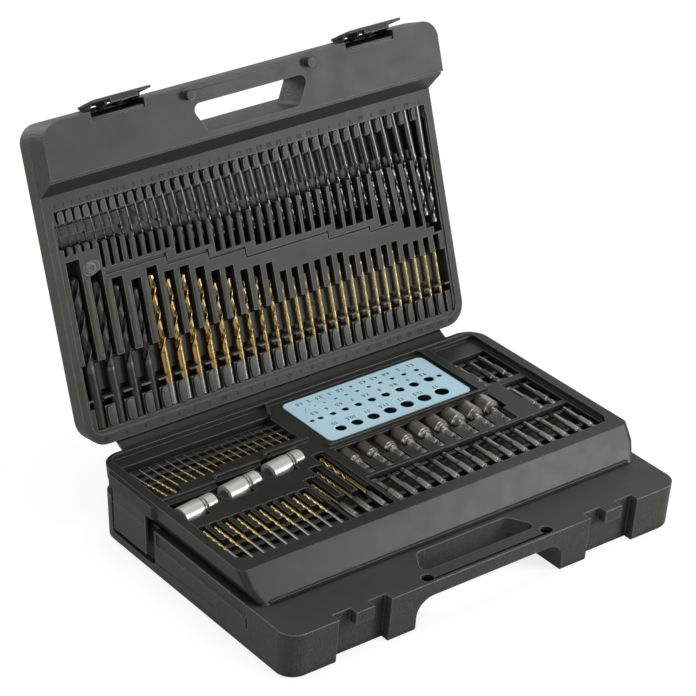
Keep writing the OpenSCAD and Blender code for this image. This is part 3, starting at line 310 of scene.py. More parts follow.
def turnedMetal(name, kind, metallic=1.0, brushed=True, fluted=False):
    # grinding marks run round the bit: V of the map is millimetres along it, U the turn round it
    s = Shade(name, metallic=metallic)
    m = metals[kind]
    at = s.coords()
    if brushed:
        rings = s.noise(s.coords("UV", (1.5, 5, 1)), 4, 3, 0.7)
    else:
        rings = s.noise(at, 900, 3, 0.6)
    cloud = s.noise(at, 120, 3, 0.6)
    island = s.node("ShaderNodeNewGeometry").outputs["Random Per Island"]
    own = s.math("ADD", s.math("MULTIPLY", island, 0.5), s.math("MULTIPLY", cloud, 0.5))
    base = s.blend(s.spread(own, 0.2, 0.8), srgb(*m["b"]), srgb(*m["a"]))
    base = s.blend(s.spread(rings, 0.5, 0.85, 0.0, 0.6), base, srgb(*m["c"]))
    if fluted:
        # flutes get painted shade, with one painted highlight line along their floor
        split = s.node("ShaderNodeSeparateXYZ")
        s.link(s.coords("UV"), split.inputs[0])
        half = s.math("FRACT", s.math("MULTIPLY", split.outputs[0], 2.0), 0.0)
        hollow = s.math("MULTIPLY", s.spread(half, flute["from"], flute["deep"]),
                        s.spread(half, flute["until"] + 0.02, flute["until"] - 0.03))
        highlightLine = s.spread(s.math("ABSOLUTE", s.math("SUBTRACT", half, flute["highlightAt"]), 0.0), 0.055, 0.015)
        hollow = s.math("MULTIPLY", hollow, s.spread(highlightLine, 0.0, 1.0, 1.0, 0.25))
        base = s.blend(s.math("MULTIPLY", hollow, 0.85), base, dimmed(srgb(*m["b"]), flute["dark"]))
        # the margin beside each cutting edge gets a painted highlight
        base = s.blend(s.spread(half, flute["margin"], 0.0, 0.0, 0.7), base, srgb(*m["c"]))
    s.colour(base)
    s.rough(s.spread(rings, 0.3, 0.75, *m["rough"]))
    s.bump(rings, 0.12, 0.00004)
    s.bump(cloud, 0.08, 0.0003)
    return s.material


gauge = {
    "tones": ((190, 228, 242), (200, 235, 248)),
    "ink": (30, 38, 46),
}


def gaugePlastic(name):
    s = Shade(name, specular=0.45)
    at = s.coords()
    haze = s.noise(at, 26, 3, 0.55)
    s.colour(s.blend(s.spread(haze, 0.3, 0.7), *(srgb(*tone) for tone in gauge["tones"])))
    s.rough(s.spread(s.noise(at, 300, 3, 0.6), 0.3, 0.7, 0.38, 0.52))
    s.bump(s.noise(at, 1500, 2, 0.5), 0.12, 0.00005)
    return s.material


def printInk(name, colour):
    s = Shade(name, specular=0.3)
    wear = s.noise(s.coords(), 700, 3, 0.6)
    r, g, b = colour
    s.colour(s.blend(s.spread(wear, 0.35, 0.75), srgb(r, g, b), srgb(r * 1.35, g * 1.35, b * 1.35)))
    s.rough(s.spread(wear, 0.3, 0.7, 0.45, 0.6))
    return s.material


panelUp = (lidPoint(0, 1, 0) - lidPoint(0, 0, 0)).normalized()
panelOut = tuple((lidPoint(0, 0, 1) - lidPoint(0, 0, 0)).normalized())
baseShade = mouldedPlastic("basePlastic", tint=0.95, facing=(0, 0, 1))
# the tray's copy is painted darker: painted shade on its deep inside
trayPaintedShade = mouldedPlastic("trayPlasticPaintedShade", tint=0.78, grain=0.04, gloss=0.06)
lidShade = mouldedPlastic("lidPlastic", tint=0.94, facing=panelOut)
webShade = mouldedPlastic("hingePlastic", tint=0.8, grain=0.3)
latchShade = mouldedPlastic("latchPlastic", tint=1.0, grain=0.4)
sideShade = mouldedPlastic("sideLatchPlastic", tint=1.05, grain=0.3)
# the pads, ovals, tongues and ledges are painted lighter than the lid: a painted highlight on raised parts
padPaintedHighlight = mouldedPlastic("padPlasticPaintedHighlight", tint=1.15, grain=0.2)
ovalPaintedHighlight = mouldedPlastic("ovalPlasticPaintedHighlight", tint=1.4, grain=1.2)
tonguePaintedHighlight = mouldedPlastic("tonguePlasticPaintedHighlight", tint=1.25, grain=0.3)
fineGoldShade = turnedMetal("fineGold", "fineGold")
goldShade = turnedMetal("goldCoating", "gold", fluted=True)
blackShade = turnedMetal("blackOxide", "black", metallic=0.6, fluted=True)
greyShade = turnedMetal("greySteel", "grey", metallic=0.9, fluted=True)
runOutHighlightShade = turnedMetal("runOutHighlightSteel", "runOutHighlight", metallic=0.9)
bareShade = turnedMetal("bareSteel", "bare", metallic=0.8)
driverShade = turnedMetal("driverSteel", "driver")
socketShade = turnedMetal("socketSteel", "socket")
ringShade = turnedMetal("turnedRing", "ring")
zincShade = turnedMetal("sleeveZinc", "zinc", metallic=0.3, brushed=False)
masonryShade = turnedMetal("masonrySteel", "masonry")
woodShade = turnedMetal("woodSteel", "wood")
carbideShade = turnedMetal("carbideTip", "carbide", brushed=False)
gaugeShade = gaugePlastic("gaugePlastic")
inkShade = printInk("gaugeInk", gauge["ink"])
markShade = printInk("rimMarks", (12, 12, 11))
print("materials made")


# Mesh building
class Pile:
    # points in millimetres, faces and one material slot for each face
    def __init__(self):
        self.points = []
        self.faces = []
        self.slots = []
        self.maps = []

    def add(self, points, faces, slots, matrix=None, maps=None):
        start = len(self.points)
        for p in points:
            q = Vector(p) * mm
            self.points.append(matrix @ q if matrix else q)
        for k, f in enumerate(faces):
            self.faces.append([start + i for i in f])
            self.slots.append(slots[k] if isinstance(slots, (list, tuple)) else slots)
        self.maps.extend(maps if maps else [(p[0], p[1]) for p in points])

    def build(self, name, body, materials, replaced=(), angle=38):
        # a piece without a body is left unattached
        mesh = bpy.data.meshes.new(name)
        mesh.from_pydata(self.points, [], self.faces)
        for m in materials:
            mesh.materials.append(m)
        mesh.polygons.foreach_set("material_index", self.slots)
        mesh.polygons.foreach_set("use_smooth", [True] * len(self.faces))
        layer = mesh.uv_layers.new(name="along")
        index = numpy.empty(len(mesh.loops), dtype=numpy.int32)
        mesh.loops.foreach_get("vertex_index", index)
        layer.data.foreach_set("uv", numpy.array(self.maps, dtype=numpy.float32)[index].ravel())
        mesh.validate()
        mesh.update()
        mesh.set_sharp_from_angle(angle=math.radians(angle))
        piece = bpy.data.objects.new(name, mesh)
        bpy.context.scene.collection.objects.link(piece)
        if body:
            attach(piece, body)
        if replaced:
            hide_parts(*replaced)
        return piece


def ringPoint(a, r):
    return (r * math.cos(a), r * math.sin(a))


def turns(n, shift=0.0):
    # n angles round a circle
    return [2 * math.pi * (k + shift) / n for k in range(n)]


def ringFaces(rings, n):
    # faces between rings of n points that follow each other
    faces = []
    for i in range(rings - 1):
        for k in range(n):
            j = (k + 1) % n
            faces.append((i * n + k, i * n + j, (i + 1) * n + j, (i + 1) * n + k))
    return faces


def capFaces(rings, n):
    # closing faces of the first and the last ring
    last = (rings - 1) * n
    return [tuple(range(n - 1, -1, -1)), tuple(last + k for k in range(n))]


def ringStack(pile, profile, n, matrix):
    # flat turned form from (radius, height, stretch across) rings
    points = [(r * wide * math.cos(a), r * math.sin(a), h) for r, h, wide in profile for a in turns(n)]
    pile.add(points, ringFaces(len(profile), n), 0, matrix)


def loft(pile, stations, radius, n, matrix, slotAt, cap=True):
    # rings of n points at each station along Z; radius(angle, z) gives the section there
    points = [(*radius(a, z), z) for z in stations for a in turns(n)]
    maps = [(k / n, z) for z in stations for k in range(n)]
    faces = ringFaces(len(stations), n)
    slots = [slotAt((a + b) / 2) for a, b in zip(stations, stations[1:]) for k in range(n)]
    if cap:
        faces += capFaces(len(stations), n)
        slots += [slotAt(stations[0]), slotAt(stations[-1])]
    pile.add(points, faces, slots, matrix, maps)


def stationsOf(*parts):
    # (from, to, steps) stretches joined to one list
    out = []
    for a, b, steps in parts:
        for k in range(steps + 1):
            z = a + (b - a) * k / steps
            if not out or z > out[-1] + 1e-6:
                out.append(z)
    return out


def solidsOf(node):
    # loose solids of a CAD node, as arrays of points in millimetres
    mesh = bmesh.new()
    mesh.from_mesh(bpy.data.objects[node].data)
    bmesh.ops.remove_doubles(mesh, verts=mesh.verts, dist=1e-6)
    mesh.verts.ensure_lookup_table()
    seen, out = set(), []
    for first in mesh.verts:
        if first.index in seen:
            continue
        group, queue = [], [first]
        seen.add(first.index)
        while queue:
            v = queue.pop()
            group.append(tuple(c / mm for c in v.co))
            for e in v.link_edges:
                other = e.other_vert(v)
                if other.index not in seen:
                    seen.add(other.index)
                    queue.append(other)
        out.append(numpy.array(group))
    mesh.free()
    return sorted(out, key=lambda p: p[:, 0].mean())


def seatOf(points):
    # matrix from a bit's own frame (shank end at the origin, +Z to the tip), radius and length
    middle = points.mean(axis=0)
    axis = numpy.linalg.eigh(numpy.cov((points - middle).T))[1][:, -1]
    for attempt in range(3):
        along = (points - middle) @ axis
        ends = []
        for near in (along < along.min() + 0.3, along > along.max() - 0.3):
            ring = points[near]
            centre = (ring.min(axis=0) + ring.max(axis=0)) / 2
            ends.append((centre, numpy.linalg.norm(ring - centre, axis=1).max()))
        if ends[0][1] < ends[1][1]:
            ends.reverse()
        axis = ends[1][0] - ends[0][0]
        axis = axis / numpy.linalg.norm(axis)
    start, tip = Vector(ends[0][0]), Vector(ends[1][0])
    z = (tip - start).normalized()
    x = Vector((1, 0, 0))
    x = (x - z * x.dot(z)).normalized()
    m = axesMatrix(x, z.cross(x), z, [c * mm for c in start])
    return m, ends[0][1], (tip - start).length


# Twist drills
# Section of a drill between two cutting edges, as (degrees, share of the radius)
section = [(0, 1.0), (7, 1.0), (10, 0.97), (35, 0.965), (70, 0.96), (97, 0.95), (108, 0.86), (118, 0.66),
           (130, 0.48), (142, 0.40), (154, 0.48), (164, 0.66), (172, 0.86), (177, 0.97)]

wholeSection = section + [(a + 180, s) for a, s in section]

# Lengths are in diameters, angles in degrees, the fit is a share of the CAD radius
drill = {
    "pitch": 5.6,
    "runOut": 1.5,
    "chamfer": 0.06,
    # length of the ring of painted highlight where the flutes begin
    "runOutHighlightRing": 0.45,
    "point": 59.0,
    "stepDegrees": 20.0,
    "fit": 0.995,
}


def twistDrill(pile, matrix, d, length, flutes, slots=(0, 1), bare=0.0, tip="point", runOutHighlight=None):
    r = d / 2
    slope = math.tan(math.radians(drill["point"]))
    pitch = drill["pitch"] * d
    cone = r / slope
    start = length - flutes
    steps = max(6, round(flutes / pitch * 360 / drill["stepDegrees"]))
    chamfer = drill["chamfer"] * d
    shank = max(bare, 0.3 * start)
    stations = stationsOf((0, chamfer, 1), (chamfer, shank, 1), (shank, start, 2),
                          (start, length - cone, steps), (length - cone, length, 5))
    n = len(wholeSection)
    points, maps = [], []
    for z in stations:
        depth = min(1.0, max(0.0, (z - start) / (drill["runOut"] * d)))
        depth = depth * depth * (3 - 2 * depth)
        turn = 360 * max(0.0, z - start) / pitch
        bound = r * (0.86 + 0.14 * min(1.0, z / chamfer)) if z <= start else r
        top = (length - z) * slope + 0.03 * d
        for degrees, share in wholeSection:
            size = min(bound, r * (1 - depth * (1 - share))) * drill["fit"]
            points.append((*ringPoint(math.radians(degrees + turn), min(size, top)), z))
            maps.append((degrees / 360 if depth > 0.25 else 0.2, z))
    slotList = []
    for a, b in zip(stations, stations[1:]):
        middle = (a + b) / 2
        slot = slots[0] if middle < bare else slots[1]
        # a short ring where the flutes begin takes the lighter steel: a painted highlight
        if runOutHighlight is not None and start < middle < start + drill["runOutHighlightRing"] * d:
            slot = runOutHighlight
        slotList += [slot] * n
    slotList += [slots[0] if bare > 0 else slots[1], slots[1]]
    pile.add(points, ringFaces(len(stations), n) + capFaces(len(stations), n), slotList, matrix, maps)
    if tip == "brad":
        # centre spike of a wood drill
        loft(pile, [length - 1.2 * cone, length - 0.4 * cone, length + 0.02 * d],
             lambda a, z: ringPoint(a, 0.16 * d * max(0.08, (length + 0.03 * d - z) / (1.3 * cone))),
             12, matrix, lambda z: slots[1])


def carbidePlate(pile, matrix, d, length, slot):
    # roof-shaped plate set in the slit of a masonry drill's tip
    w, t, h = d * 0.485, d * 0.13, d * 0.95
    z0, z1 = length - h, length - 0.42 * d
    turn = Matrix.Rotation(math.radians(35), 4, "Z")
    points = [(-w, -t, z0), (w, -t, z0), (w, -t, z1), (0, -t, length - 0.02 * d), (-w, -t, z1),
              (-w, t, z0), (w, t, z0), (w, t, z1), (0, t, length - 0.02 * d), (-w, t, z1)]
    faces = [(0, 1, 2, 3, 4), (9, 8, 7, 6, 5), (0, 5, 6, 1), (1, 6, 7, 2), (2, 7, 8, 3), (3, 8, 9, 4),
             (4, 9, 5, 0)]
    pile.add(points, faces, slot, matrix @ turn)


def fluted(d):
    # share of a drill's length that is fluted
    return 0.63 if d > 4.2 else 0.6


def drillRow(name, node, body, materials, bare=0.0, tip="point", plate=None, runOutHighlight=None):
    # bare is the share of the length without a coating; the plate and the painted highlight ring are material
    # slots
    pile = Pile()
    for points in solidsOf(node):
        m, r, length = seatOf(points)
        d = 2 * r
        twistDrill(pile, m, d, length, length * fluted(d), (0, 1), bare * length, tip, runOutHighlight)
        if plate is not None:
            carbidePlate(pile, m, d, length, plate)
    pile.build(name, body, materials, [node])


for size in ("small", "medium", "large"):
    drillRow(size + "BlackDrills", size + "_black_bits", "lid", [greyShade, greyShade])
drillRow("heavyBlackDrills", "heavy_black_bits", "lid", [blackShade, blackShade, runOutHighlightShade],
         runOutHighlight=2)
drillRow("largeGoldDrills", "large_gold_bits", "lid", [bareShade, goldShade], bare=0.17)
drillRow("mediumGoldDrills", "medium_gold_bits", "lid", [bareShade, fineGoldShade], bare=0.2)
drillRow("frontGoldDrills", "front_gold_bits", "tray", [bareShade, fineGoldShade], bare=0.42)
drillRow("smallGoldDrills", "small_gold_bits", "tray", [bareShade, fineGoldShade], bare=0.45)
drillRow("masonryDrills", "masonry_bits", "base", [masonryShade, masonryShade, carbideShade],
         plate=2)
drillRow("woodDrills", "wood_bits", "base", [woodShade, woodShade], tip="brad")
print("drills made")


# Hexagon shanks, driver bits and nut drivers
hexBar = {
    "flats": 6.35,
    "groove": 9.5,
    "grooveRadius": 2.45,
    "count": 36,
    "driverShare": 0.52,  # hexagon's share of a driver bit's length
    "drillBody": 34,  # hexagon of the drills with such a shank
    "drillSizes": [2.5, 3.2, 4.5],
    "socket": 24,
    "socketCount": 48,
    "fit": 0.995,
}


def hexRadius(a, flats, edge=0.965):
    step = math.radians(60)
    b = (a + step / 2) % step - step / 2
    return min(flats / 2 / math.cos(b), flats / 2 / math.cos(step / 2) * edge)


def shankRadius(a, z, length):
    # chamfered end, snap groove with sloping flanks, then the plain hexagon
    r = hexRadius(a, hexBar["flats"])
    if z < 1:
        r = min(r, hexBar["flats"] / 2 * (0.86 + 0.16 * z))
    off = abs(z - hexBar["groove"])
    if off < 2.4:
        r = min(r, hexBar["grooveRadius"] + max(0.0, off - 0.9) * 0.9)
    return r


def tipRadius(kind, a, z, neck):
    # z runs from the end of the hexagon; neck is the length from there to the tip
    flats = hexBar["flats"]
    stem = flats * 0.36
    body = min(hexRadius(a, flats), stem + max(0.0, 2.6 - z) * 0.55)
    left = neck - z
    if kind == "flat":
        part = min(1.0, max(0.0, (9.5 - left) / 5))
        half = 0.55 + (1 - part) * 2.2
        wide = flats * (0.36 + 0.05 * part)
        c, s = abs(math.cos(a)), abs(math.sin(a))
        return min(body if part == 0 else wide, wide / max(c, 0.01), half / max(s, 0.01))
    if kind == "cross":
        cone = min(stem, 0.75 + left * 0.56)
        cut = 1 - 0.42 * min(1.0, max(0.0, (6.5 - left) / 3)) * abs(math.sin(2 * a)) ** 0.7
        return min(body, cone) * cut
    # star tip
    part = min(1.0, max(0.0, (5.5 - left) / 1.6))
    star = flats * 0.27 * (1 + 0.13 * math.cos(6 * a)) * (1 - 0.25 * max(0.0, 0.8 - left))
    return body * (1 - part) + min(body, star) * part


def barStations(length):
    g = hexBar["groove"]
    return stationsOf((0, 1, 2), (1, g - 2.4, 2), (g - 2.4, g - 0.9, 3), (g - 0.9, g + 0.9, 2),
                      (g + 0.9, g + 2.4, 3), (g + 2.4, length, 2))


def shankSlot(z):
    # the groove is turned bright
    return 1 if abs(z - hexBar["groove"]) < 2.3 else 0


def lyingMatrix(points):
    # bits in the tray lie along Y, shank end to the front
    low, high = points.min(axis=0), points.max(axis=0)
    m = Matrix.Rotation(math.radians(-90), 4, "X")
    m.translation = Vector(((low[0] + high[0]) / 2, low[1], (low[2] + high[2]) / 2)) * mm
    return m, high[1] - low[1]


def driverRow(name, node, kinds):
    pile = Pile()
    for k, points in enumerate(solidsOf(node)):
        m, length = lyingMatrix(points)
        body = hexBar["driverShare"] * length
        neck = length - body
        kind = kinds[k % len(kinds)]
        stations = barStations(body)
        stations += [body + s for s in stationsOf((0.15, 3, 5), (3, neck - 10, 2), (neck - 10, neck - 4, 6),
                                                  (neck - 4, neck, 8))]

        def radius(a, z):
            r = shankRadius(a, z, body) if z <= body else tipRadius(kind, a, z - body, neck)
            return ringPoint(a, r * hexBar["fit"])

        loft(pile, stations, radius, hexBar["count"], m, shankSlot)
    pile.build(name, "tray", [driverShade, ringShade], [node], angle=32)


driverRow("driverBitsFront", "driver_bits_front", ["flat", "cross", "star"])
driverRow("driverBitsRight", "driver_bits_right", ["flat", "cross"])
driverRow("driverBitsRear", "driver_bits_rear", ["flat", "cross", "star"])


def nutDrivers():
    pile = Pile()
    for points in solidsOf("nut_drivers"):
        m, length = lyingMatrix(points)
        low, high = points.min(axis=0), points.max(axis=0)
        r = (high[0] - low[0]) / 2
        socket, n = hexBar["socket"], hexBar["socketCount"]
        start = length - socket
        flats = hexBar["flats"]

        def outside(a, z):
            if z <= start:
                return ringPoint(a, shankRadius(a, z, start) * hexBar["fit"])
            s = z - start
            if s < 3:
                size = flats * (0.55 + 0.07 * s / 3)
            elif s < 6:
                size = r * 0.8
            elif s < 8:
                size = r * (0.8 + 0.2 * math.sin((s - 6) / 2 * math.pi / 2))
            else:
                size = r * (1 - 0.05 * max(0.0, s - socket + 0.8) / 0.8)
            return ringPoint(a, min(size, r) * 0.997)

        def ringSlot(z):
            return shankSlot(z) if z < start else int(6 < z - start < 8.2)

        steps = (0.05, 0.4, 2.9, 3.0, 3.4, 5.9, 6.1, 6.6, 7.2, 8.0, 8.4, 11, 15, 19, 23.2, 23.6, 24.0)
        loft(pile, barStations(start) + [start + s for s in steps], outside, n, m, ringSlot, cap=False)
        pile.add([(*outside(a, 0), 0) for a in turns(n)], [tuple(range(n - 1, -1, -1))], 0, m)
        # rim, hexagon bore and its floor
        rings = [(24.0, 0.95, False), (24.0, 0.84, False), (23.4, 0.76, True), (15.0, 0.76, True)]
        bore = []
        for s, share, flat in rings:
            for a in turns(n):
                size = hexRadius(a, 2 * r * share * 0.866, 1.0) if flat else r * share * 0.997
                bore.append((*ringPoint(a, size), start + s))
        pile.add(bore, ringFaces(len(rings), n) + capFaces(len(rings), n)[1:], 2, m)
    pile.build("nutDriverSockets", "tray", [socketShade, ringShade, socketShade], ["nut_drivers"],
               angle=32)


nutDrivers()


def hexShankDrills():
    pile = Pile()
    body = hexBar["drillBody"]
    for d, points in zip(hexBar["drillSizes"], solidsOf("hex_shank_drills")):
        m, length = lyingMatrix(points)
        stations = barStations(body - 3) + [body - 2.9, body - 2, body - 1, body]

        def radius(a, z):
            r = shankRadius(a, min(z, body - 3), body)
            if z > body - 3:
                r = min(r, 3.3 - (z - body + 3) / 3 * (3.3 - d / 2 - 0.4))
            return ringPoint(a, r * hexBar["fit"])

        loft(pile, stations, radius, hexBar["count"], m, shankSlot)
        seat = body - 1.0  # the drill starts inside the hexagon's end
        drillMatrix = m @ Matrix.Translation(Vector((0, 0, seat * mm)))
        twistDrill(pile, drillMatrix, d, length - seat, (length - (seat + 0.5)) * fluted(d), (1, 2), 3.0)
    pile.build("hexShankDrills", "tray", [driverShade, ringShade, goldShade], ["hex_shank_drills"],
               angle=34)


hexShankDrills()
print("drivers made")


# Hinge webs: thickness, its shares at the crease and beside it, and the strips across
web = {
    "thick": 1.3,
    "crease": 0.5,
    "beside": 0.7,
    "strips": 24,
    "hem": 0.4,
}


def hingeWeb(name, path, replaced):
    # strip that follows a line of (y, z, thickness) points, thinner at its crease
    half = case["hingeHalf"]
    pile = Pile()
    rows = []
    for i, (y, z, t) in enumerate(path):
        a = path[max(0, i - 1)]
        b = path[min(len(path) - 1, i + 1)]
        dy, dz = b[0] - a[0], b[1] - a[1]
        size = math.hypot(dy, dz)
        ny, nz = -dz / size, dy / size
        rows.append(((y + ny * t / 2, z + nz * t / 2), (y - ny * t / 2, z - nz * t / 2)))
    hem, strips = web["hem"], web["strips"]
    across = [-half, -half + hem]
    across += [-half + hem + (2 * half - 2 * hem) * k / strips for k in range(1, strips + 1)] + [half]
    m = len(across)
    points = [(x, row[k][0], row[k][1]) for row in rows for k in (0, 1) for x in across]
    faces = []
    count = len(rows)
    for i in range(count - 1):
        for j in range(m - 1):
            a, b = (2 * i) * m + j, (2 * i + 2) * m + j
            faces.append((a, b, b + 1, a + 1))
            a, b = (2 * i + 1) * m + j, (2 * i + 3) * m + j
            faces.append((a, a + 1, b + 1, b))
        for j in (0, m - 1):
            a, b, c, d = (2 * i) * m + j, (2 * i + 1) * m + j, (2 * i + 3) * m + j, (2 * i + 2) * m + j
            faces.append((a, b, c, d) if j == 0 else (d, c, b, a))
    for i in (0, count - 1):
        for j in range(m - 1):
            a, b = (2 * i) * m + j, (2 * i + 1) * m + j
            faces.append((a, a + 1, b + 1, b) if i == 0 else (b, b + 1, a + 1, a))
    pile.add(points, faces, 0)
    piece = pile.build(name, None, [webShade], replaced, angle=50)
    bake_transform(piece)


def webPath(wall, axis, far):
    # from one wall over the crease to the other wall
    out, t = [], web["thick"]
    for share, thick in ((0, t), (0.3, t), (0.6, t), (0.84, t), (0.93, web["beside"] * t)):
        out.append((wall[0] + (axis[0] - wall[0]) * share, wall[1] + (axis[1] - wall[1]) * share, thick))
    out.append((axis[0], axis[1], web["crease"] * t))
    for share, thick in ((0.07, web["beside"] * t), (0.16, t), (0.4, t), (0.7, t), (1, t)):
        out.append((axis[0] + (far[0] - axis[0]) * share, axis[1] + (far[1] - axis[1]) * share, thick))
    return out


lidWall = lidPoint(0, 0, -3.6) / mm
hingeWeb("lidHingeWeb", webPath((141.0, 64.9), case["lidAxis"], (lidWall.y, lidWall.z)),
         ["lid_hinge_tray_leaf", "lid_hinge_lid_leaf"])
hingeWeb("trayHingeWeb", webPath((141.0, 39.8), case["trayAxis"], (141.0, 46.5)),
         ["tray_hinge_base_leaf", "tray_hinge_tray_leaf"])
print("hinges made")


# Details of the lid and the sleeves
def padShape(pile, x, v0, v1, half, low, high, slot, power):
    # raised pad with a domed top, standing on the panel at depth low
    n, rings = 28, 5
    vm, length = (v0 + v1) / 2, (v1 - v0) / 2
    points = []
    for i in range(rings + 1):
        t = i / rings
        if i == 0:
            size, h = 1.0, low - 0.2
        else:
            size, h = 1 - 0.16 * t ** 3 - 0.02 * t, low + (high - low) * math.sin(t * math.pi / 2)
        reach = length - half * (1 - size)
        for a in turns(n):
            c, s = math.cos(a), math.sin(a)
            points.append((half * size * math.copysign(abs(c) ** (2 / power), c),
                           reach * math.copysign(abs(s) ** (2 / power), s), h))
    pile.add(points, ringFaces(rings + 1, n) + capFaces(rings + 1, n)[1:], slot, lidMatrix(x, vm, 0))


def bitPlaces(node):
    # X at the shank end, diameter, length and lean of each bit of a lid row
    out = []
    for points in solidsOf(node):
        m, r, length = seatOf(points)
        along = m.to_3x3() @ Vector((0, 0, 1))
        out.append((m.translation.x / mm, 2 * r, length, along.x / max(abs(along.dot(panelUp)), 0.1)))
    return out


upperBits = bitPlaces("small_black_bits") + bitPlaces("medium_black_bits") + bitPlaces("large_black_bits")
lowerBits = bitPlaces("heavy_black_bits") + bitPlaces("large_gold_bits") + bitPlaces("medium_gold_bits")


# Pads between the bits' shanks: least room, reach up the lid, half width, gap, top, corner power and slot
padRows = [
    {"bits": upperBits, "room": 3.2, "v": (192.6, 203.6), "half": 3.0, "gap": 0.25, "top": -0.8,
     "power": 2.8, "slot": 1},
    {"bits": lowerBits, "room": 3.0, "v": (13.2, 31.6), "half": 20.0, "gap": 0.9, "top": -1.0,
     "power": 3.2, "slot": 0},
]


def thumbPads():
    pile = Pile()
    for q in padRows:
        for i, (a, b) in enumerate(zip(q["bits"], q["bits"][1:])):
            left, right = a[0] + a[1] / 2, b[0] - b[1] / 2
            room = right - left
            if room >= q["room"]:
                half = min(q["half"] - 0.02 * i, room / 2 - q["gap"])
                padShape(pile, (left + right) / 2, *q["v"], half, -3.0, q["top"], q["slot"], q["power"])
    pile.build("thumbPads", "lid", [padPaintedHighlight, ovalPaintedHighlight], angle=42)


# Slots of the upper row: (bits, where the slots begin, where they end) below the field's upper edge,
# as in the part
upperSlots = [(4, 33.4, 39.7), (4, 35.7, 57.7), (4, 40.2, 57.7), (4, 43.7, 65.1), (4, 46.7, 73.7),
              (4, 46.7, 78.7), (4, 46.7, 80.6), (4, 46.7, 87.1), (2, 46.7, 96.2), (1, 46.7, 104.7),
              (1, 46.7, 107.7), (1, 46.7, 110.7), (1, 46.7, 116.7)]

# Half-round tops of the bars: how many bars have one, and where they lie
caps = {
    "lower": 9,
    "upper": 24,
    "lowerClear": 1.4,
    "upperClear": 1.0,
    "lowerFrom": 71.6,
    "fieldTop": 204.7,
    "shanks": 198,
    "heights": (-2.2, -0.5),
}


def tongue(pile, x, v0, v1, half, low, high, turn=0.0):
    # half-round bar with rounded ends, its top standing over the panel
    n, rings = 20, 7
    points = []
    length = (v1 - v0) / 2
    for i in range(rings + 1):
        t = i / rings * math.pi / 2
        size, h = math.cos(t), low + (high - low) * math.sin(t)
        for a in turns(n, 0.5):
            py = math.copysign(length - half, math.sin(a)) + half * size * math.sin(a)
            points.append((half * size * math.cos(a), py, h))
    place = lidMatrix(x, (v0 + v1) / 2, 0) @ Matrix.Rotation(turn, 4, "Z")
    pile.add(points, ringFaces(rings + 1, n), 0, place)


def slotCaps():
    # half-round tops on the bars between the slots
    pile = Pile()
    for a, b in zip(lowerBits[:caps["lower"]], lowerBits[1:]):
        left = a[0] + a[1] / 2 + caps["lowerClear"]
        right = b[0] - b[1] / 2 - caps["lowerClear"]
        far = 13 + min(a[2], b[2]) + 5
        tongue(pile, (left + right) / 2, caps["lowerFrom"], far, (right - left) / 2 - 0.12, *caps["heights"])
    edges = [pair[1:] for pair in upperSlots for k in range(pair[0])]
    for i in range(caps["upper"]):
        a, b = upperBits[i], upperBits[i + 1]
        near = caps["fieldTop"] - min(edges[i][0], edges[i + 1][0])
        far = caps["fieldTop"] - min(edges[i][1], edges[i + 1][1])
        # the bits lean, so the bar between them is nearer the right lower down
        drift = ((a[3] + b[3]) / 2) * (caps["shanks"] - (near + far) / 2)
        left = a[0] + a[1] / 2 + caps["upperClear"] + drift
        right = b[0] - b[1] / 2 - caps["upperClear"] + drift
        if right - left < 2.0 or near - far < 5:
            continue
        tongue(pile, (left + right) / 2, far, near + 1.2, (right - left) / 2 - 0.2, *caps["heights"],
               math.atan((a[3] + b[3]) / 2) if a[1] > 4.1 else 0.0)
    pile.build("slotCaps", "lid", [tonguePaintedHighlight], angle=42)


# Boss: X and distance up the lid, turn in degrees, and (radius, height, stretch across) rings
boss = {
    "place": (-165.0, 150.0),
    "turn": 12,
    "count": 40,
    "profile": [(6.2, -1.7, 1.45), (5.9, -0.9, 1.45), (4.2, -0.8, 1.0), (3.9, -0.4, 1.0), (2.6, -0.4, 1.0),
                (2.3, -1.2, 1.0), (0.02, -1.2, 1.0)],
}


def lidBoss():
    # small plate with a ring at the end of the upper slots
    pile = Pile()
    place = lidMatrix(*boss["place"], 0) @ Matrix.Rotation(math.radians(boss["turn"]), 4, "Z")
    ringStack(pile, boss["profile"], boss["count"], place)
    pile.build("lidBoss", "lid", [padPaintedHighlight], angle=35)


# Seat of each front latch in the lid: X of its middle, its width, and the ledge inside it
latchSeat = {
    "x": 127.5,
    "width": 50.4,
    "from": 274.05,
    "to": 276.7,
    "low": 15.0,
    "high": 25.2,
    "edge": 0.7,
}


def latchLedges():
    # step inside each latch seat, clear of the swing of the latch
    pile = Pile()
    q = latchSeat
    half, e = q["width"] / 2, q["edge"]
    for x in (-q["x"], q["x"]):
        rings = [(half, q["to"], q["low"]), (half, q["to"], q["high"] - e),
                 (half - e * 0.4, q["to"] - e * 0.3, q["high"] - e * 0.3), (half - e, q["to"] - e, q["high"])]
        points = []
        for w, v, h in rings:
            points += [(-w, q["from"] - 254, h), (w, q["from"] - 254, h), (w, v - 254, h), (-w, v - 254, h)]
        pile.add(points, ringFaces(4, 4) + capFaces(4, 4)[::-1], 0, lidMatrix(x, 254, 0))
    pile.build("latchLedges", "lid", [tonguePaintedHighlight], angle=50)


# Darker bands round a sleeve, painted shade for its turned grooves: (share of its length, width), and how far
# they stand out
sleeve = {
    "bands": ((0.62, 0.5), (0.70, 0.25)),
    "proud": 0.06,
    "count": 48,
}


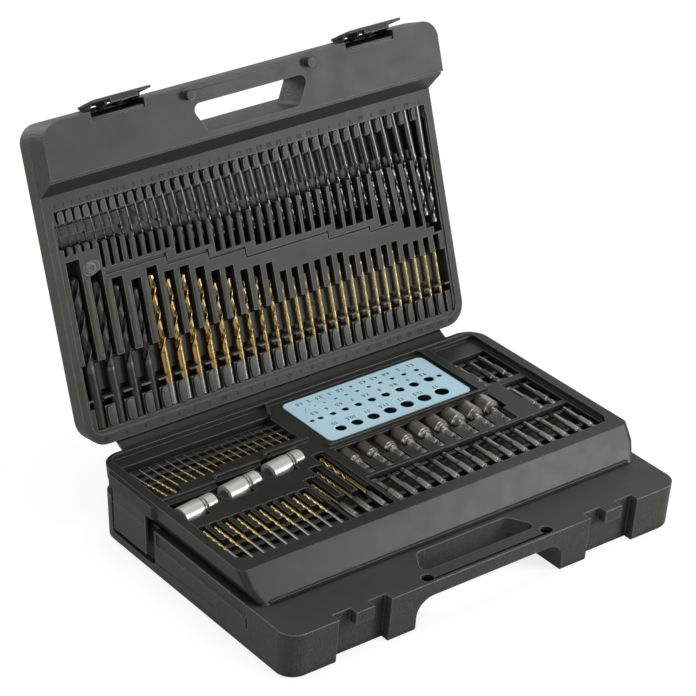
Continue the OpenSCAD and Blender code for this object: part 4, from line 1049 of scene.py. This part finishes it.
def sleeveGrooves():
    # two fine darker bands round each sleeve, painted shade where its grooves are
    pile = Pile()
    for points in solidsOf("depth_stop_sleeves"):
        low, high = points.min(axis=0), points.max(axis=0)
        r = (high[2] - low[2]) / 2
        place = Matrix.Rotation(math.radians(90), 4, "Y")
        place.translation = Vector((low[0], (low[1] + high[1]) / 2, (low[2] + high[2]) / 2)) * mm
        length = high[0] - low[0]
        for at, wide in sleeve["bands"]:
            z = at * length
            loft(pile, [z, z + 0.02, z + wide - 0.02, z + wide],
                 lambda a, h: ringPoint(a, r - 0.2 if h in (z, z + wide) else r + sleeve["proud"]),
                 sleeve["count"], place, lambda h: 0)
    pile.build("sleeveGrooves", "tray", [socketShade])


# Ejector marks: X and distance up the lid, depth of the flat bands, (radius, height) rings
ejector = {
    "places": ((-112, 181), (-66, 179), (-10, 178), (47, 178), (103, 177), (48, 56), (104, 56), (-60, 56)),
    "band": -11.5,
    "rings": ((4.1, -0.05), (4.0, 0.18), (3.6, 0.2), (3.4, 0.06), (0.02, 0.05)),
    "count": 32,
}


def ejectorMarks():
    # shallow rings left by the mould's ejector pins on the flat bands
    pile = Pile()
    profile = [(r, ejector["band"] + dh, 1.0) for r, dh in ejector["rings"]]
    for x, v in ejector["places"]:
        ringStack(pile, profile, ejector["count"], lidMatrix(x, v, 0))
    pile.build("ejectorMarks", "lid", [lidShade])


for make in (thumbPads, slotCaps, lidBoss, latchLedges, sleeveGrooves, ejectorMarks):
    make()
print("lid details made")


# Numbers: height and distance up the lid of each row, height on the gauge, and boldness
labels = {
    "upper": (3.4, 208.8),
    "lower": (3.2, 5.2),
    "lidBold": 0.14,
    "gaugeHeight": 4.4,
    "gaugeGap": 9.5,
    "gaugeBold": 0.07,
}


def digits(label, height, depth, bold):
    curve = bpy.data.curves.new("digits", "FONT")
    curve.body = label
    curve.size = height * mm * 1.38
    curve.extrude = depth * mm / 2
    curve.offset = bold * mm
    curve.align_x = "CENTER"
    curve.align_y = "CENTER"
    curve.resolution_u = 3
    holder = bpy.data.objects.new("digits", curve)
    bpy.context.scene.collection.objects.link(holder)
    bpy.context.view_layer.update()
    mesh = bpy.data.meshes.new_from_object(holder.evaluated_get(bpy.context.evaluated_depsgraph_get()))
    points = [v.co / mm for v in mesh.vertices]
    faces = [tuple(p.vertices) for p in mesh.polygons]
    bpy.data.objects.remove(holder)
    bpy.data.curves.remove(curve)
    bpy.data.meshes.remove(mesh)
    return points, faces


glyphs = {}


def setNumber(pile, label, height, matrix, depth, bold):
    # numbers are read from the hinge side
    key = (label, height, depth, bold)
    if key not in glyphs:
        glyphs[key] = digits(label, height, depth, bold)
    points, faces = glyphs[key]
    pile.add(points, faces, 0, matrix @ Matrix.Rotation(math.pi, 4, "Z"))


# Rows of the gauge: distance from its rear edge, then X and size of each hole
gaugeRows = [
    (17.5, [(-61.9, "1.5"), (-51.9, "2"), (-41.4, "2.5"), (-29.8, "3"), (-18.5, "3.5"), (-6.7, "4"),
            (6, "4.2"), (18.3, "4.5"), (31.5, "4.8"), (44.7, "5"), (58.4, "5.2")]),
    (37.5, [(-60.1, "5.5"), (-46.9, "6"), (-33.8, "6.5"), (-19.8, "7"), (-5.3, "7.5"), (9.7, "8"),
            (25.2, "8.5"), (40.7, "9"), (57.3, "9.5")]),
    (62.0, [(-55.9, "10"), (-38.8, "10.5"), (-21.4, "11"), (-3.5, "11.5"), (14.9, "12"), (33.6, "12.5"),
            (52.8, "13")]),
]


def gaugeNumbers():
    pile = Pile()
    low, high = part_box("drill_gauge")
    top = high[2] / mm
    middle = (low[0] + high[0]) / 2 / mm
    rearEdge = high[1] / mm
    for v, row in gaugeRows:
        for x, label in row:
            y = rearEdge - v + labels["gaugeGap"]
            place = Matrix.Translation(Vector((middle + x, y, top + 0.02)) * mm)
            setNumber(pile, label, labels["gaugeHeight"], place, 0.06, labels["gaugeBold"])
    pile.build("gaugeNumbers", "tray", [inkShade])


def lidNumbers():
    pile = Pile()
    for bits, (height, v) in ((upperBits, labels["upper"]), (lowerBits, labels["lower"])):
        for x, d, length, lean in bits:
            label = format(round(d, 1), "g")
            setNumber(pile, label, height, lidMatrix(x, v, 0.06), 0.25, labels["lidBold"])
    pile.build("lidNumbers", "lid", [markShade])


gaugeNumbers()
lidNumbers()
print("numbers made")


# Shells and other kept nodes
# Width of the rounded edges, in millimetres, and material of each node that stays
rounding = {
    "base_shell": (0.5, baseShade),
    "tray_shell": (0.3, trayPaintedShade),
    "lid_shell": (0.3, lidShade),
    "side_latch_left": (0.4, sideShade),
    "side_latch_right": (0.4, sideShade),
    "latch_left": (0.25, latchShade),
    "latch_right": (0.25, latchShade),
    "drill_gauge": (0.35, gaugeShade),
    "depth_stop_sleeves": (0.35, zincShade),
    "spade_bits": (0.12, masonryShade),
}


def roundEdges(node, width, material):
    piece = bpy.data.objects[node]
    piece.data.materials.clear()
    piece.data.materials.append(material)
    weld = piece.modifiers.new("weld", "WELD")
    weld.merge_threshold = 1e-5
    edge = piece.modifiers.new("edge", "BEVEL")
    edge.limit_method = "ANGLE"
    edge.angle_limit = math.radians(28)
    edge.width = width * mm
    edge.segments = 2
    edge.use_clamp_overlap = False
    edge.harden_normals = False
    normals = piece.modifiers.new("normals", "WEIGHTED_NORMAL")
    normals.keep_sharp = True


for node, (width, material) in rounding.items():
    roundEdges(node, width, material)
print("shells finished")


# Floor, light and camera
# Strengths: room is the plain light from all round, glow is what the camera sees of the floor;
# wall is Generated Y from and to, with the strength of the wall in reflections at both
studio = {
    "room": 0.30,
    "glow": 0.80,
    "glowInMirrors": 0.4,
    "wall": (-0.3, 0.35, 0.22, 0.75),
    "floorTones": ((0.32, 0.32, 0.32, 1), (0.34, 0.34, 0.34, 1)),
    "floorSize": 8.0,
    "aim": (0, 0.05, 0.12),
    "lamps": [
        ("keyLamp", (1.05, -1.3, 0.62), 0.75, 22.0),
        ("fillLamp", (-1.7, -0.9, 0.9), 1.0, 6.5),
        ("topLamp", (0.1, 0.2, 2.1), 1.4, 12.0),
        ("backLamp", (-0.5, 2.1, 0.9), 1.2, 13.0),
    ],
}


def floorShade():
    s = Shade("floor", specular=0.1)
    haze = s.noise(s.coords(), 1.5, 2, 0.5)
    s.colour(s.blend(s.spread(haze, 0.2, 0.8), *studio["floorTones"]))
    s.shader.inputs["Roughness"].default_value = 0.9
    path = s.node("ShaderNodeLightPath").outputs
    mirrored = s.math("MAXIMUM", path["Is Glossy Ray"], path["Is Transmission Ray"])
    seen = s.math("MAXIMUM", path["Is Camera Ray"], s.math("MULTIPLY", mirrored, studio["glowInMirrors"]))
    glow = s.node("ShaderNodeEmission")
    glow.inputs["Color"].default_value = (1, 1, 1, 1)
    s.link(s.math("MULTIPLY", seen, studio["glow"]), glow.inputs["Strength"])
    both = s.node("ShaderNodeAddShader")
    s.link(s.shader.outputs[0], both.inputs[0])
    s.link(glow.outputs[0], both.inputs[1])
    s.link(both.outputs[0], s.out.inputs[0])
    return s.material


def studioFloor():
    mesh = bpy.data.meshes.new("floor")
    n, size = 9, studio["floorSize"]
    points = [(size * (i / (n - 1) - 0.5), size * (j / (n - 1) - 0.5), 0) for j in range(n) for i in range(n)]
    faces = [(j * n + i, j * n + i + 1, (j + 1) * n + i + 1, (j + 1) * n + i)
             for j in range(n - 1) for i in range(n - 1)]
    mesh.from_pydata(points, [], faces)
    mesh.materials.append(floorShade())
    floor = bpy.data.objects.new("floor", mesh)
    bpy.context.scene.collection.objects.link(floor)


def studioWorld():
    # the white wall stands behind the case; the room in front of it is dimmer in reflections
    world = bpy.data.worlds.new("studio")
    bpy.context.scene.world = world
    w = Nodes(world)
    path = w.node("ShaderNodeLightPath").outputs
    split = w.node("ShaderNodeSeparateXYZ")
    w.link(w.node("ShaderNodeTexCoord").outputs["Generated"], split.inputs[0])
    wall = w.math("MAXIMUM", w.spread(split.outputs[1], *studio["wall"]), path["Is Camera Ray"])
    mirrored = w.math("MAXIMUM", path["Is Glossy Ray"], path["Is Transmission Ray"])
    mix = w.node("ShaderNodeMixShader")
    w.link(w.math("MAXIMUM", path["Is Camera Ray"], mirrored), mix.inputs[0])
    for place, strength in ((1, studio["room"]), (2, wall)):
        background = w.node("ShaderNodeBackground")
        background.inputs["Color"].default_value = (1, 1, 1, 1)
        w.feed(background.inputs["Strength"], strength)
        w.link(background.outputs[0], mix.inputs[place])
    w.link(mix.outputs[0], w.node("ShaderNodeOutputWorld").inputs[0])


def aimed(name, data, place, target):
    holder = bpy.data.objects.new(name, data)
    holder.location = place
    holder.rotation_mode = "QUATERNION"
    holder.rotation_quaternion = (Vector(target) - holder.location).to_track_quat("-Z", "Y")
    bpy.context.scene.collection.objects.link(holder)
    return holder


def studioLamps():
    for name, place, size, power in studio["lamps"]:
        lamp = bpy.data.lights.new(name, "AREA")
        lamp.shape = "SQUARE"
        lamp.size = size
        lamp.energy = power
        aimed(name, lamp, place, studio["aim"])


# Where the photograph was taken from, in metres, and the lens in millimetres
view = {
    "place": (-1.1827, -1.5741, 1.2331),
    "aim": (0.0512, 0.1299, 0.1),
    "lens": 141.35,
}


def photoCamera():
    data = bpy.data.cameras.new("camera")
    data.sensor_width = 36
    data.lens = view["lens"]
    data.clip_start = 0.05
    data.clip_end = 30
    bpy.context.scene.camera = aimed("camera", data, view["place"], view["aim"])


studioFloor()
studioWorld()
studioLamps()
photoCamera()
bpy.context.scene.view_settings.view_transform = "Standard"
print("studio made")
